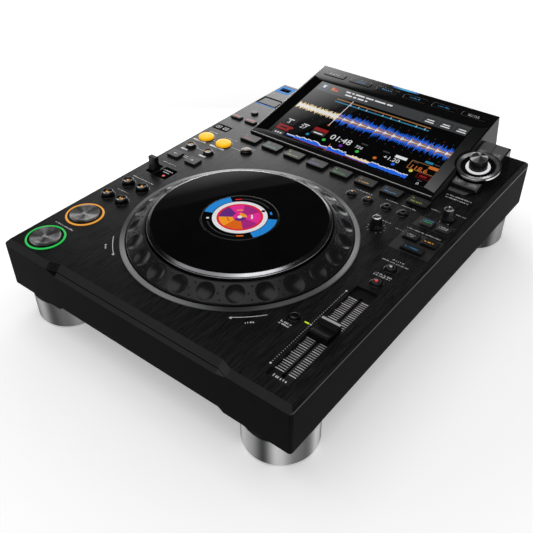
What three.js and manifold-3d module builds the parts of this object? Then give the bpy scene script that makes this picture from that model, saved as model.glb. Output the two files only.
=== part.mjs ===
// Tabletop deck for DJ use: a flat case on four metal feet, with a large jog wheel in the middle,
// a tilted touch screen behind it, keys, knobs and a tempo fader on both sides, and jacks at the rear.
// Millimetres, +X to the player's right, +Y to the rear, +Z up. The origin is under the middle of the
// whole deck, on the surface that its feet stand on.

import * as THREE from "three";
import { mergeVertices } from "three/addons/utils/BufferGeometryUtils.js";
import Module from "manifold-3d";

const wasm = await Module();
wasm.setup();

// Overall sizes
const bodyWidth = 329;
const overallDepth = 453;
const overallHeight = 118;
const hoodReach = 27;
const deckTop = 85.7;
const trayBottom = 36.4;

// Gaps and walls that many pieces share
const seatGap = 0.3;
const runningGap = 0.3;
const keyGap = 0.4;
const overrun = 4;
const wall = 3;
const deckSkin = 2.6;
const boardThickness = 1.6;
const jogSides = 48;
const dishSides = 32;
const midSides = 24;
const keySides = 16;
const smallSides = 12;
const switchSides = 4;
const dimpleSides = 8;
const dimpleSteps = 2;
const bodyCornerSteps = 2;
const weldDistance = 1e-4;

// Lower case
const cornerRadius = 2.6;
const floorThickness = 3;
const rimHeight = 5.1;
const sideChamfer = 3.5;
const rearChamfer = 2.3;
const noseChamferDepth = 5.3;
const noseChamferDrop = 5.1;
const lipChamferDepth = 9;
const lipChamferDrop = 8.4;
const lipHalfWidthShare = 0.285;
const lipTransition = 11;
const noseRaise = 3.5;
const noseRaiseDepth = 34;
const postRadius = 4;

// Feet
const footRadius = 33;
const footEdge = 2.5;
const footCollarRadius = 29.5;
const footCollarHeight = 5.2;
const footSideInset = 34.8;
const footFrontInset = 33.8;
const footRearInset = 37.2;

// Jog wheel, from the deck's top plane up
const jogFrontShare = 0.3336;
const jogMargin = 53.5;
const trimWidth = 5;
const trimRise = 1.5;
const trimSleeve = 1.9;
const wheelGap = 1;
const wheelSkirtDrop = 3;
const wheelEdgeRise = 2.5;
const wheelRimWidth = 16.4;
const wheelLipRise = 12;
const wheelLipWidth = 2;
const wheelShell = 3.5;
const webBottom = 2.5;
const webThickness = 3;
const hubRadius = 18;
const hubDrop = 16;
const dimpleCount = 24;
const dimpleStart = 0.5;
const dimpleRadius = 8.8;
const dimpleDepth = 2;
const platterGroove = 1.2;
const platterRise = 16.4;
const platterThickness = 2.5;
const platterBevel = 2.2;
const platterSeatWidth = 7.4;
const displayRadius = 36;
const postShaftRadius = 12;
const postFootRadius = 30;
const postFlange = 2.5;
const postFootHeight = 4;
const displaySeatGap = 2;

// Keys: a cap through the deck's skin over a flange that the skin holds down
const keyFlange = 1.2;
const keyLip = 1.2;
const keyBevel = 0.6;
const keyTravel = 1;
const switchHeight = 2;
const switchRadius = 1.8;
const linkWidth = 6;
const keyCorner = 1.4;

const roundKeyRadius = 5.6;
const roundKeyRise = 3.4;
const searchKeyRadius = 6.3;
const searchKeyRise = 4.6;
const loopKeyRadius = 8.6;
const loopKeyRise = 3.2;
const reloopKeyRadius = 6.2;
const dotKeyRadius = 4.4;
const dotKeyRise = 2.6;
const transportRadius = 14.4;
const transportRise = 2.2;
const transportDish = 0.9;
const padDepth = 12.4;
const padGap = 9.6;
const padRise = 2.8;
const padPitchShare = 0.13165;
const padFrontShare = 0.6655;
const jumpKeySize = [14, 11.5];
const modeKeySize = [12.6, 10.6];
const syncKeySize = [13.4, 9.4];
const wideKeySize = [20.6, 8];
const mediaKeySize = [14.8, 7.8];
const plainKeyRise = 2.4;

// Places on the deck, as shares of its width from the middle and of its depth from the front edge
const transportSideShare = -0.4152;
const playFrontShare = 0.0615;
const cueFrontShare = 0.1707;
const leftOuterShare = -0.4462;
const leftInnerShare = -0.3685;
const searchSideShares = [-0.4422, -0.3821];
const searchFrontShare = 0.258;
const trackFrontShare = 0.3232;
const jumpSideShares = [-0.4489, -0.3714];
const jumpFrontShare = 0.4883;
const beatFrontShare = 0.5458;
const loopFrontShare = 0.6056;
const reloopSideShare = -0.2736;
const memorySideShares = [0.1429, 0.2006, 0.2644, 0.3191];
const memoryFrontShare = 0.6092;
const modeSideShares = [0.4027, 0.4544];
const modeFrontShare = 0.6045;
const mediaSideShares = [-0.4578, -0.3945];
const mediaFrontShare = 0.7427;
const stopPlaceShares = [-0.4255, 0.7899];
const syncMasterShares = [0.3951, 0.5399];
const beatSyncShares = [0.4529, 0.5399];
const keySyncShares = [0.4255, 0.5012];
const rangeSideShare = 0.4225;
const rangeFrontShares = [0.419, 0.3627];
const resetPlaceShares = [0.3307, 0.1854];
const faderPlaceShares = [0.4195, 0.1873];
const speedKnobShares = [0.2936, 0.5261];
const adjustKnobShares = [0.4362, 0.6491];
const leverPlaceShares = [-0.4407, 0.4096];

// Small knobs
const knobTopRadius = 5;
const knobSkirtRadius = 6.4;
const knobHeight = 12;
const knobSkirtHeight = 3;
const knobLift = 0.6;
const knobShaftRadius = 3;
const knobPointer = 1.4;

// Direction lever
const leverSlot = [10.4, 18];
const leverWidth = 9;
const leverNeck = 4.4;
const leverFootDepth = 9.4;
const leverTopDepth = 5.6;
const leverHeight = 14.5;
const leverPivotDrop = 6.5;
const leverPinRadius = 1.8;
const leverEarThickness = 2;
const leverEarDepth = 8;
const leverEarGap = 0.5;
const leverPinLength = 17;

// Tempo fader
const faderOpening = [21.5, 125.5];
const faderDepth = 4;
const faderFloor = 1.6;
const faderFlange = 3.2;
const faderTravel = 50;
const faderSlot = 3;
const faderBodyWidth = 13;
const faderBodyDrop = 14;
const faderWall = 2;
const capSize = [17.6, 20];
const capRise = 5.2;
const capValley = 2.6;
const capLip = 3.4;
const capBlade = [2.2, 8];
const capBladeDrop = 9;

// Screen housing, its tilted face and what it holds
const leftShelf = 52.1;
const rightShelf = 47.5;
const faceDepth = 147.6;
const faceFrontRise = 4.3;
const faceRearInset = 10.9;
const hoodBottom = 66;
const housingWall = 2.6;
const faceWall = 5;
const bezelDrop = 1.2;
const bezelSide = 1.8;
const bezelFront = 7.5;
const bezelRear = 24;
const glassSide = 15.7;
const glassFront = 12;
const glassRear = 29;
const glassThickness = 2.2;
const glassLedge = 2;
const browseKeyDepth = 8.2;
const browseGap = 7.4;
const browsePitchShare = 0.1587;
const browseCount = 6;
const browseRearInset = 12.8;
const browseRise = 0.7;
const cableOpening = [120, 24];
const cableFrontShare = 0.86;

// Selector pod beside the screen, measured along its tilted face from the dish's middle
const podWidth = 30.4;
const podDishInset = 90.5;
const podFrontRise = 4.8;
const podBorder = 0.9;
const podSkin = 2;
const podSkinDrop = 1;
const podFrontReach = 31;
const podRearReach = 45;
const podFrontSlope = 7.5;
const podRearSlope = 10;
const podCorner = 10;
const podOpeningReach = 6;
const dishRadius = 22.8;
const dishRise = 4.5;
const dishUndercut = 1;
const dishFloor = 2.5;
const dishStemRadius = 12;
const dishRim = 1.3;
const dishNotchGap = 0.6;
const dishKeyGap = 0.8;
const podKeySplit = 1;
const selectorRadius = 8.7;
const selectorGripRadius = 9.4;
const selectorGripHeight = 4;
const selectorGripTeeth = 18;
const selectorGripDepth = 0.5;
const selectorRise = 15.4;
const selectorLift = 1.4;
const selectorShaftRadius = 3;
const selectorFlangeRadius = 6.4;
const selectorBoreDepth = 8;

// Media block under the left rear corner
const portSideInset = 15;
const portRearInset = 15.5;
const cardSideInset = 19.7;
const cardRearInset = 53.5;
const portFrame = [21, 20];
const portFrameDrop = 1;
const portSlot = [13.2, 5.8];
const portSlotDepth = 16;
const cardOpening = [31.8, 20.4];
const cardDoorThickness = 2;
const cardHingeRadius = 1;
const cardWell = [28, 15.6];
const cardWellDepth = 5.2;
const cardSlot = [25, 2.8];
const cardSlotDepth = 13;
const mediaBlockMargin = 1.2;
const mediaBlockDrop = 22;

// Rear panel and what passes through it
const panelThickness = 2.5;
const jackRise = 14;
const jackBoardRise = 5;
const jackBoardDepth = 44;
const jackBoardSpan = [0.38, 0.82];
const jackStandoff = 4;
const phonoShares = [0.56, 0.626, 0.675];
const phonoRadius = 4.2;
const phonoReach = 9;
const phonoBlock = [13, 13];
const phonoBlockDepth = 16;
const controlShare = 0.73;
const controlRadius = 3.9;
const controlBore = 1.75;
const controlReach = 2;
const networkShare = 0.49;
const networkShell = [16.4, 13.6];
const networkSlot = [12, 8.6];
const networkDepth = 20;
const networkSlotDepth = 14;
const serialShare = 0.425;
const serialShell = [12, 11];
const serialSlot = [8.6, 7.8];
const serialDepth = 16;
const serialSlotDepth = 11;
const socketReach = 0.8;
const inletShare = 0.155;
const inletShell = [27, 19.6];
const inletSlot = [23.4, 15.8];
const inletDepth = 24;
const inletSlotDepth = 17;
const inletFlange = [31, 23.4];
const inletFlangeThickness = 2;
const switchShare = 0.245;
const rockerSize = [13, 19];
const rockerDepth = 9;
const rockerReach = 1.6;
const rockerPinRadius = 1.4;
const rockerEar = 2;

// Power supply on the tray's floor
const supplySize = [112, 74];
const supplySideInset = 9.8;
const supplyRearInset = 52.5;
const supplyLegs = 5;
const supplyTransformer = [34, 30, 24];
const supplyCapacitorRadius = 9;
const supplyCapacitorHeight = 22;
const supplyHeatSink = [6, 50, 22];

// Places that follow from the sizes above
const front = -overallDepth / 2;
const bodyDepth = overallDepth - hoodReach;
const bodyRear = front + bodyDepth;
const trayTop = deckTop - rimHeight - seatGap;
const floorTop = trayBottom + floorThickness;
const lipHalfWidth = lipHalfWidthShare * bodyWidth;
const jogPlace = [0, front + jogFrontShare * bodyDepth];
const faceRear = overallDepth / 2 - faceRearInset;
const faceFront = faceRear - faceDepth;
const faceBase = deckTop + faceFrontRise;
const faceTilt = Math.atan2(overallHeight - faceBase, faceRear - faceFront);
const faceLength = Math.hypot(overallHeight - faceBase, faceRear - faceFront);
const housingWidth = bodyWidth - leftShelf - rightShelf;
const housingShift = (leftShelf - rightShelf) / 2;
const glassWidth = housingWidth - 2 * glassSide;
const browsePitch = browsePitchShare * housingWidth;
const browseKeySize = [browsePitch - browseGap, browseKeyDepth];
const padPitch = padPitchShare * housingWidth;
const padSize = [padPitch - padGap, padDepth];
const podCentre = [
  bodyWidth / 2 - rightShelf + seatGap + podWidth / 2,
  overallDepth / 2 - podDishInset,
  deckTop + podFrontRise + podFrontReach * Math.sin(faceTilt),
];
const trimOuterRadius = bodyWidth / 2 - jogMargin;
const trimInnerRadius = trimOuterRadius - trimWidth;
const flangeTop = -deckSkin - seatGap;
const flangeBottom = flangeTop - keyFlange;
const switchTop = flangeBottom - keyTravel - seatGap;
const boardTop = switchTop - switchHeight;
const boardBottom = boardTop - boardThickness;
const floorDrop = floorTop - deckTop;

// Point on the deck from its two shares.
function onDeck([side, depth]) {
  return [side * bodyWidth, front + depth * bodyDepth];
}

// Solids

function solid(geometry) {
  geometry.deleteAttribute("normal");
  geometry.deleteAttribute("uv");
  const welded = mergeVertices(geometry, weldDistance);
  const corners = welded.index.array;
  const triangles = [];
  for (let first = 0; first < corners.length; first += 3) {
    const [a, b, c] = corners.slice(first, first + 3);
    if (a !== b && b !== c && c !== a) {
      triangles.push(a, b, c);
    }
  }
  return new wasm.Manifold(new wasm.Mesh({
    numProp: 3,
    vertProperties: new Float32Array(welded.attributes.position.array),
    triVerts: new Uint32Array(triangles),
  }));
}

function block(low, high) {
  const size = high.map((value, axis) => value - low[axis]);
  const geometry = new THREE.BoxGeometry(...size);
  geometry.translate(...high.map((value, axis) => (value + low[axis]) / 2));
  return solid(geometry);
}

function rod(radius, bottom, top, sides, [x, y] = [0, 0]) {
  const geometry = new THREE.CylinderGeometry(radius, radius, top - bottom, sides);
  geometry.rotateX(Math.PI / 2);
  geometry.translate(x, y, (bottom + top) / 2);
  return solid(geometry);
}

// A rod along X through the point (y, z).
function crossRod(radius, left, right, sides, [y, z]) {
  const geometry = new THREE.CylinderGeometry(radius, radius, right - left, sides);
  geometry.rotateZ(Math.PI / 2);
  geometry.translate((left + right) / 2, y, z);
  return solid(geometry);
}

// A rod along Y through the point (x, z).
function rearRod(radius, near, far, sides, [x, z]) {
  const geometry = new THREE.CylinderGeometry(radius, radius, far - near, sides);
  geometry.translate(x, (near + far) / 2, z);
  return solid(geometry);
}

// A profile of [radius, height] points, turned about the upright axis.
function turned(profile, sides) {
  const geometry = new THREE.LatheGeometry(profile.map(([r, z]) => new THREE.Vector2(r, z)), sides);
  geometry.rotateX(Math.PI / 2);
  return solid(geometry);
}

function rectangle(width, depth, radius, [x, y] = [0, 0], steps = 1) {
  const outline = [];
  for (let corner = 0; corner < 4; corner += 1) {
    const across = corner === 0 || corner === 3 ? 1 : -1;
    const along = corner < 2 ? 1 : -1;
    for (let step = 0; step <= steps; step += 1) {
      const angle = (corner + step / steps) * Math.PI / 2;
      outline.push([
        x + across * (width / 2 - radius) + radius * Math.cos(angle),
        y + along * (depth / 2 - radius) + radius * Math.sin(angle),
      ]);
    }
  }
  return outline;
}

// An upright prism on an outline of [x, y] points.
function prism(outline, bottom, top) {
  const shape = new THREE.Shape(outline.map(([x, y]) => new THREE.Vector2(x, y)));
  const geometry = new THREE.ExtrudeGeometry(shape, { depth: top - bottom, bevelEnabled: false });
  geometry.translate(0, 0, bottom);
  return solid(geometry);
}

// A prism along X on an outline of [y, z] points.
function crossPrism(outline, left, right) {
  const shape = new THREE.Shape(outline.map(([y, z]) => new THREE.Vector2(y, z)));
  const geometry = new THREE.ExtrudeGeometry(shape, { depth: right - left, bevelEnabled: false });
  const turn = new THREE.Matrix4().makeBasis(
    new THREE.Vector3(0, 1, 0), new THREE.Vector3(0, 0, 1), new THREE.Vector3(1, 0, 0));
  geometry.applyMatrix4(turn);
  geometry.translate(left, 0, 0);
  return solid(geometry);
}

// The skin over rings of equally many points, each ring convex and anticlockwise seen from the last.
function lofted(rings) {
  const count = rings[0].length;
  const index = [];
  for (let ring = 0; ring + 1 < rings.length; ring += 1) {
    for (let point = 0; point < count; point += 1) {
      const a = ring * count + point;
      const b = ring * count + (point + 1) % count;
      index.push(a, b, b + count, a, b + count, a + count);
    }
  }
  const last = (rings.length - 1) * count;
  for (let point = 1; point + 1 < count; point += 1) {
    index.push(0, point + 1, point, last, last + point, last + point + 1);
  }
  const geometry = new THREE.BufferGeometry();
  geometry.setAttribute("position", new THREE.Float32BufferAttribute(rings.flat(2), 3));
  geometry.setIndex(index);
  return solid(geometry);
}

function raised(outline, height) {
  return outline.map(([x, y]) => [x, y, height]);
}

function joined(...solids) {
  return solids.reduce((whole, next) => whole.add(next));
}

function cut(whole, ...tools) {
  return tools.reduce((rest, tool) => rest.subtract(tool), whole);
}

function shifted(whole, x, y, z) {
  return whole.translate([x, y, z]);
}

function moved(whole, matrix) {
  return whole.transform(matrix.elements);
}

function tiltedAt(x, y, z) {
  const matrix = new THREE.Matrix4().makeRotationX(faceTilt);
  matrix.setPosition(x, y, z);
  return matrix;
}

function mesh(name, whole, finish, x = 0, y = 0, z = 0) {
  const { vertProperties, triVerts } = whole.getMesh();
  const geometry = new THREE.BufferGeometry();
  geometry.setAttribute("position", new THREE.BufferAttribute(vertProperties, 3));
  geometry.setIndex(new THREE.BufferAttribute(triVerts, 1));
  geometry.computeVertexNormals();
  const piece = new THREE.Mesh(geometry, finish);
  piece.name = name;
  piece.position.set(x, y, z);
  return piece;
}

// Finishes

function finish(color, roughness, metalness = 0) {
  return new THREE.MeshStandardMaterial({ color, roughness, metalness, flatShading: true });
}

const blackMetal = finish("#1c1c1d", 0.5, 0.4);
const blackPlastic = finish("#141414", 0.6);
const keyPlastic = finish("#2a2a2b", 0.55);
const glossPlastic = finish("#0a0a0b", 0.12);
const trimSilver = finish("#8b8d90", 0.4, 0.9);
const footMetal = finish("#a9abad", 0.35, 0.95);
const spunMetal = finish("#b5b6b8", 0.3, 1);
const amberPlastic = finish("#f2b705", 0.4);
const screenGlass = finish("#08090b", 0.06);
const boardGreen = finish("#1d5a35", 0.6);
const socketGrey = finish("#6d6f72", 0.4, 0.7);
const doorGrey = finish("#3a3b3d", 0.5, 0.3);
const supplySteel = finish("#9a9c9e", 0.45, 0.8);

// Case

// The chamfer along the front edge, deeper in the middle than beside it; z is zero at the deck's top.
function noseChamfer() {
  const rings = [
    [bodyWidth / 2 + overrun, noseChamferDepth, noseChamferDrop],
    [lipHalfWidth + lipTransition, noseChamferDepth, noseChamferDrop],
    [lipHalfWidth, lipChamferDepth, lipChamferDrop],
    [-lipHalfWidth, lipChamferDepth, lipChamferDrop],
    [-lipHalfWidth - lipTransition, noseChamferDepth, noseChamferDrop],
    [-bodyWidth / 2 - overrun, noseChamferDepth, noseChamferDrop],
  ];
  return lofted(rings.map(([x, depth, drop]) => {
    const slope = drop / depth;
    return [
      [x, front - overrun, -drop - overrun * slope],
      [x, front - overrun, overrun * slope],
      [x, front + depth + overrun, overrun * slope],
    ];
  }));
}

function sideChamfers() {
  const edge = bodyWidth / 2;
  return [-1, 1].map((side) => {
    const outline = [
      [side * (edge + overrun), -sideChamfer - overrun],
      [side * (edge + overrun), overrun],
      [side * (edge - sideChamfer - overrun), overrun],
    ];
    const ends = [front - overrun, bodyRear + overrun];
    const rings = ends.map((y) => outline.map(([x, z]) => [x, y, z]));
    return lofted(side > 0 ? rings.reverse() : rings);
  });
}

function rearChamferTool() {
  return crossPrism([
    [bodyRear + overrun, -rearChamfer - overrun],
    [bodyRear + overrun, overrun],
    [bodyRear - rearChamfer - overrun, overrun],
  ], -bodyWidth / 2 - overrun, bodyWidth / 2 + overrun);
}

const bodyMiddle = [0, front + bodyDepth / 2];
const bodyOutline = rectangle(bodyWidth, bodyDepth, cornerRadius, bodyMiddle, bodyCornerSteps);

const boardPosts = [
  [-0.365, 0.03], [0.365, 0.03], [-0.365, 0.675], [0.365, 0.675],
].map(onDeck);

const jackBoardX = jackBoardSpan.map((share) => (share - 1 / 2) * bodyWidth);
const panelInside = bodyRear - panelThickness - seatGap;
const jackBoardY = [panelInside - jackBoardDepth, panelInside];

const jackPosts = jackBoardX.flatMap((x, side) => jackBoardY.map((y, end) => [
  x + (side ? -1 : 1) * postRadius,
  y + (end ? -1 : 1) * postRadius,
]));

function trayPan() {
  const inner = bodyWidth / 2 - wall;
  const pan = cut(
    prism(bodyOutline, trayBottom, trayTop),
    block([-inner, front + wall, floorTop], [inner, bodyRear + overrun, trayTop + overrun]));
  const raiseReach = front + noseRaiseDepth;
  const shelf = block(
    [-lipHalfWidth - lipTransition - wall, front + wall / 2, floorTop - floorThickness / 2],
    [lipHalfWidth + lipTransition + wall, raiseReach + wall, floorTop + noseRaise]);
  const undercut = lofted([0, noseRaise].map((rise) => {
    const reach = lipHalfWidth + lipTransition * (1 - rise / noseRaise);
    const bottom = rise ? trayBottom + rise : trayBottom - overrun;
    const near = front - overrun;
    return [
      [-reach, near, bottom],
      [reach, near, bottom],
      [reach, raiseReach, bottom],
      [-reach, raiseReach, bottom],
    ];
  }));
  return cut(joined(pan, shelf), undercut, shifted(noseChamfer(), 0, 0, deckTop));
}

function baseTray() {
  const root = floorTop - floorThickness / 2;
  const boardSeat = deckTop + boardBottom - seatGap;
  const jackSeat = floorTop + jackBoardRise - seatGap;
  const posts = boardPosts.map((place) => rod(postRadius, root, boardSeat, smallSides, place));
  const standoffs = jackPosts.map((place) => rod(postRadius, root, jackSeat, smallSides, place));
  return joined(trayPan(), ...posts, ...standoffs);
}

function foot() {
  const top = trayBottom - seatGap;
  const shoulder = top - footCollarHeight;
  return turned([
    [0, 0],
    [footRadius - footEdge, 0],
    [footRadius, footEdge],
    [footRadius, shoulder],
    [footCollarRadius, shoulder],
    [footCollarRadius, top],
    [0, top],
  ], midSides);
}

// Deck panel, with z zero at its top

const leverPlace = onDeck(leverPlaceShares);
const faderPlace = onDeck(faderPlaceShares);
const portPlace = [-bodyWidth / 2 + portSideInset, bodyRear - portRearInset];
const cardPlace = [-bodyWidth / 2 + cardSideInset, bodyRear - cardRearInset];
const speedKnobPlace = onDeck(speedKnobShares);
const adjustKnobPlace = onDeck(adjustKnobShares);

const transportKey = { radius: transportRadius, rise: transportRise, look: "spun" };
const searchKey = { radius: searchKeyRadius, rise: searchKeyRise, look: "gloss" };
const roundKey = { radius: roundKeyRadius, rise: roundKeyRise, look: "key" };
const loopKey = { radius: loopKeyRadius, rise: loopKeyRise, look: "amber" };
const reloopKey = { radius: reloopKeyRadius, rise: roundKeyRise, look: "key" };
const dotKey = { radius: dotKeyRadius, rise: dotKeyRise, look: "key" };
const jumpKey = { size: jumpKeySize, rise: plainKeyRise, look: "key" };
const syncKey = { size: syncKeySize, rise: plainKeyRise, look: "key" };

const singleKeys = [
  { name: "play_button", shares: [transportSideShare, playFrontShare], ...transportKey },
  { name: "cue_button", shares: [transportSideShare, cueFrontShare], ...transportKey },
  { name: "search_reverse_button", shares: [searchSideShares[0], searchFrontShare], ...searchKey },
  { name: "search_forward_button", shares: [searchSideShares[1], searchFrontShare], ...searchKey },
  { name: "track_back_button", shares: [searchSideShares[0], trackFrontShare], ...searchKey },
  { name: "track_next_button", shares: [searchSideShares[1], trackFrontShare], ...searchKey },
  { name: "jump_back_button", shares: [jumpSideShares[0], jumpFrontShare], ...jumpKey },
  { name: "jump_forward_button", shares: [jumpSideShares[1], jumpFrontShare], ...jumpKey },
  { name: "short_loop_button", shares: [leftOuterShare, beatFrontShare], ...roundKey },
  { name: "long_loop_button", shares: [leftInnerShare, beatFrontShare], ...roundKey },
  { name: "loop_in_button", shares: [leftOuterShare, loopFrontShare], ...loopKey },
  { name: "loop_out_button", shares: [leftInnerShare, loopFrontShare], ...loopKey },
  { name: "reloop_button", shares: [reloopSideShare, memoryFrontShare], ...reloopKey },
  { name: "sync_master_button", shares: syncMasterShares, ...syncKey },
  { name: "beat_sync_button", shares: beatSyncShares, ...syncKey },
  { name: "key_sync_button", shares: keySyncShares, ...syncKey, size: wideKeySize },
  { name: "tempo_reset_button", shares: resetPlaceShares, ...dotKey },
].map((key) => ({ ...key, place: onDeck(key.shares) }));

const padNames = "abcdefgh";
const padKeys = Array.from(padNames, (letter, index) => ({
  name: `hot_cue_${letter}_button`,
  place: [
    housingShift + padPitch * (index - (padNames.length - 1) / 2),
    onDeck([0, padFrontShare])[1],
  ],
  size: padSize,
  rise: padRise,
  look: "key",
}));

const keyGroups = [
  {
    name: "memory_keys",
    keys: memorySideShares.map((side) => ({ place: onDeck([side, memoryFrontShare]), ...dotKey })),
  },
  {
    name: "jog_mode_keys",
    keys: modeSideShares.map((side) => ({
      place: onDeck([side, modeFrontShare]),
      size: modeKeySize,
      rise: plainKeyRise,
    })),
  },
  {
    name: "media_keys",
    keys: [
      ...mediaSideShares.map((side) => ({
        place: onDeck([side, mediaFrontShare]),
        size: mediaKeySize,
        rise: plainKeyRise,
      })),
      { place: onDeck(stopPlaceShares), ...dotKey },
    ],
  },
  {
    name: "tempo_keys",
    keys: rangeFrontShares.map((depth) => ({ place: onDeck([rangeSideShare, depth]), ...dotKey })),
  },
];

const groupedKeys = keyGroups.flatMap((group) => group.keys);
const deckKeys = [...singleKeys, ...padKeys, ...groupedKeys];

function roundSides(radius) {
  if (radius >= transportRadius) {
    return midSides;
  }
  return radius >= reloopKeyRadius ? keySides : smallSides;
}

function keyHole({ place, radius, size }) {
  const bottom = -deckSkin - overrun;
  if (radius) {
    return rod(radius + keyGap, bottom, overrun, roundSides(radius), place);
  }
  const [width, depth] = size;
  const outline = rectangle(width + 2 * keyGap, depth + 2 * keyGap, keyCorner + keyGap, place);
  return prism(outline, bottom, overrun);
}

function deckPanel() {
  const inner = bodyWidth / 2 - wall;
  const shell = cut(
    prism(bodyOutline, -rimHeight, 0),
    block([-inner, front + wall, -rimHeight - overrun], [inner, bodyRear - wall, -deckSkin]),
    noseChamfer(), ...sideChamfers(), rearChamferTool());
  const backing = cut(
    block(
      [-lipHalfWidth - lipTransition, front + wall, -rimHeight],
      [lipHalfWidth + lipTransition, front + lipChamferDepth + wall, -deckSkin / 2]),
    noseChamfer());
  const through = -rimHeight - overrun;
  const cablePlace = [housingShift, onDeck([0, cableFrontShare])[1]];
  const openings = [
    rod(trimInnerRadius + trimSleeve + seatGap, through, overrun, jogSides, jogPlace),
    ...deckKeys.map(keyHole),
    prism(rectangle(...faderOpening, keyCorner, faderPlace), through, overrun),
    prism(rectangle(...leverSlot, keyCorner, leverPlace), through, overrun),
    prism(rectangle(...portFrame, keyCorner, portPlace), -portFrameDrop, overrun),
    prism(rectangle(portSlot[0], portSlot[1], portSlot[1] / 8, portPlace), through, overrun),
    prism(rectangle(...cardOpening, keyGap, cardPlace), through, overrun),
    prism(rectangle(...cableOpening, keyCorner, cablePlace), through, overrun),
    block(
      [podCentre[0] - podWidth / 2 + podBorder + seatGap, podCentre[1] - podFrontReach, through],
      [podCentre[0] + podWidth / 2 - podBorder - seatGap, podCentre[1] + podOpeningReach, overrun]),
    ...[speedKnobPlace, adjustKnobPlace].map((place) => {
      return rod(knobShaftRadius + keyGap, through, overrun, smallSides, place);
    }),
  ];
  return joined(cut(joined(shell, backing), ...openings), ...leverEars());
}

// Ears under the deck that carry the direction lever's pin.
function leverEars() {
  const [x, y] = leverPlace;
  return [-1, 1].map((side) => {
    const near = x + side * (leverWidth / 2 + leverEarGap);
    const far = near + side * leverEarThickness;
    const ear = block(
      [Math.min(near, far), y - leverEarDepth / 2, -leverPivotDrop - leverEarDepth / 2],
      [Math.max(near, far), y + leverEarDepth / 2, -deckSkin / 2]);
    const slot = block(
      [x - leverSlot[0] / 2, y - leverSlot[1] / 2, -deckSkin - overrun],
      [x + leverSlot[0] / 2, y + leverSlot[1] / 2, overrun]);
    const bore = crossRod(
      leverPinRadius + runningGap, x - leverPinLength, x + leverPinLength, keySides, [y, -leverPivotDrop]);
    return cut(ear, slot.translate([0, 0, deckSkin + overrun - seatGap]), bore);
  });
}

// Keys, with z zero at the deck's top and the origin at the key's middle

function keyCap({ radius, size, rise }, [x, y] = [0, 0]) {
  if (radius) {
    const cap = turned([
      [0, flangeBottom],
      [radius + keyLip, flangeBottom],
      [radius + keyLip, flangeTop],
      [radius, flangeTop],
      [radius, rise - keyBevel],
      [radius - keyBevel, rise],
      [0, rise],
    ], roundSides(radius));
    return shifted(cap, x, y, 0);
  }
  const [width, depth] = size;
  const flange = block(
    [x - width / 2 - keyLip, y - depth / 2 - keyLip, flangeBottom],
    [x + width / 2 + keyLip, y + depth / 2 + keyLip, flangeTop]);
  const stem = rectangle(width, depth, keyCorner, [x, y]);
  const crown = rectangle(width - 2 * keyBevel, depth - 2 * keyBevel, keyCorner - keyBevel / 2, [x, y]);
  return joined(flange, lofted([
    raised(stem, flangeTop - keyFlange / 2),
    raised(stem, rise - keyBevel),
    raised(crown, rise),
  ]));
}

// A metal cap whose top is dished.
function transportCap({ radius, rise }) {
  return turned([
    [0, flangeBottom],
    [radius + keyLip, flangeBottom],
    [radius + keyLip, flangeTop],
    [radius, flangeTop],
    [radius, rise - keyBevel],
    [radius - keyBevel, rise],
    [radius / 2, rise - transportDish * 3 / 4],
    [0, rise - transportDish],
  ], midSides);
}

// The caps of a group, joined by a link under the deck; the origin is at the first cap's middle.
function linkedCaps({ keys }) {
  const [x0, y0] = keys[0].place;
  const places = keys.map(({ place }) => [place[0] - x0, place[1] - y0]);
  const caps = keys.map((key, index) => keyCap(key, places[index]));
  const xs = places.map((place) => place[0]);
  const ys = places.map((place) => place[1]);
  const spine = block(
    [Math.min(...xs) - linkWidth / 2, -linkWidth / 2, flangeBottom],
    [Math.max(...xs) + linkWidth / 2, linkWidth / 2, flangeTop]);
  const lastX = xs[xs.length - 1];
  const rib = block(
    [lastX - linkWidth / 2, Math.min(...ys) - linkWidth / 2, flangeBottom],
    [lastX + linkWidth / 2, Math.max(...ys) + linkWidth / 2, flangeTop]);
  return joined(spine, rib, ...caps);
}

// Small knob: a shaft, a skirt and a slightly tapered grip, with its origin on the deck.
function smallKnob() {
  const pointer = block(
    [-knobPointer / 2, knobTopRadius / 2, knobLift],
    [knobPointer / 2, knobSkirtRadius, knobHeight * 2 / 3]);
  return joined(turned([
    [0, boardTop + seatGap],
    [knobShaftRadius, boardTop + seatGap],
    [knobShaftRadius, knobLift],
    [knobSkirtRadius, knobLift],
    [knobSkirtRadius, knobLift + knobSkirtHeight],
    [knobTopRadius + keyBevel, knobLift + knobSkirtHeight + keyBevel],
    [knobTopRadius, knobHeight - keyBevel],
    [knobTopRadius - keyBevel, knobHeight],
    [0, knobHeight],
  ], keySides), pointer);
}

// Lever with its pin; the origin is on the pin's axis.
function directionLever() {
  const halfWidth = leverWidth / 2;
  const sections = [
    [-leverPinRadius, leverNeck],
    [leverPivotDrop / 2, leverNeck],
    [leverPivotDrop, leverFootDepth],
    [leverPivotDrop + leverHeight / 2, leverTopDepth],
    [leverPivotDrop + leverHeight - keyBevel, leverTopDepth],
    [leverPivotDrop + leverHeight, leverTopDepth - 2 * keyBevel],
  ];
  const blade = lofted(sections.map(([z, depth]) => [
    [-halfWidth, -depth / 2, z],
    [halfWidth, -depth / 2, z],
    [halfWidth, depth / 2, z],
    [-halfWidth, depth / 2, z],
  ]));
  const halfPin = halfWidth + leverEarGap + leverEarThickness + leverEarGap;
  return joined(blade, crossRod(leverPinRadius, -halfPin, halfPin, keySides, [0, 0]));
}

// Jog wheel

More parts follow.
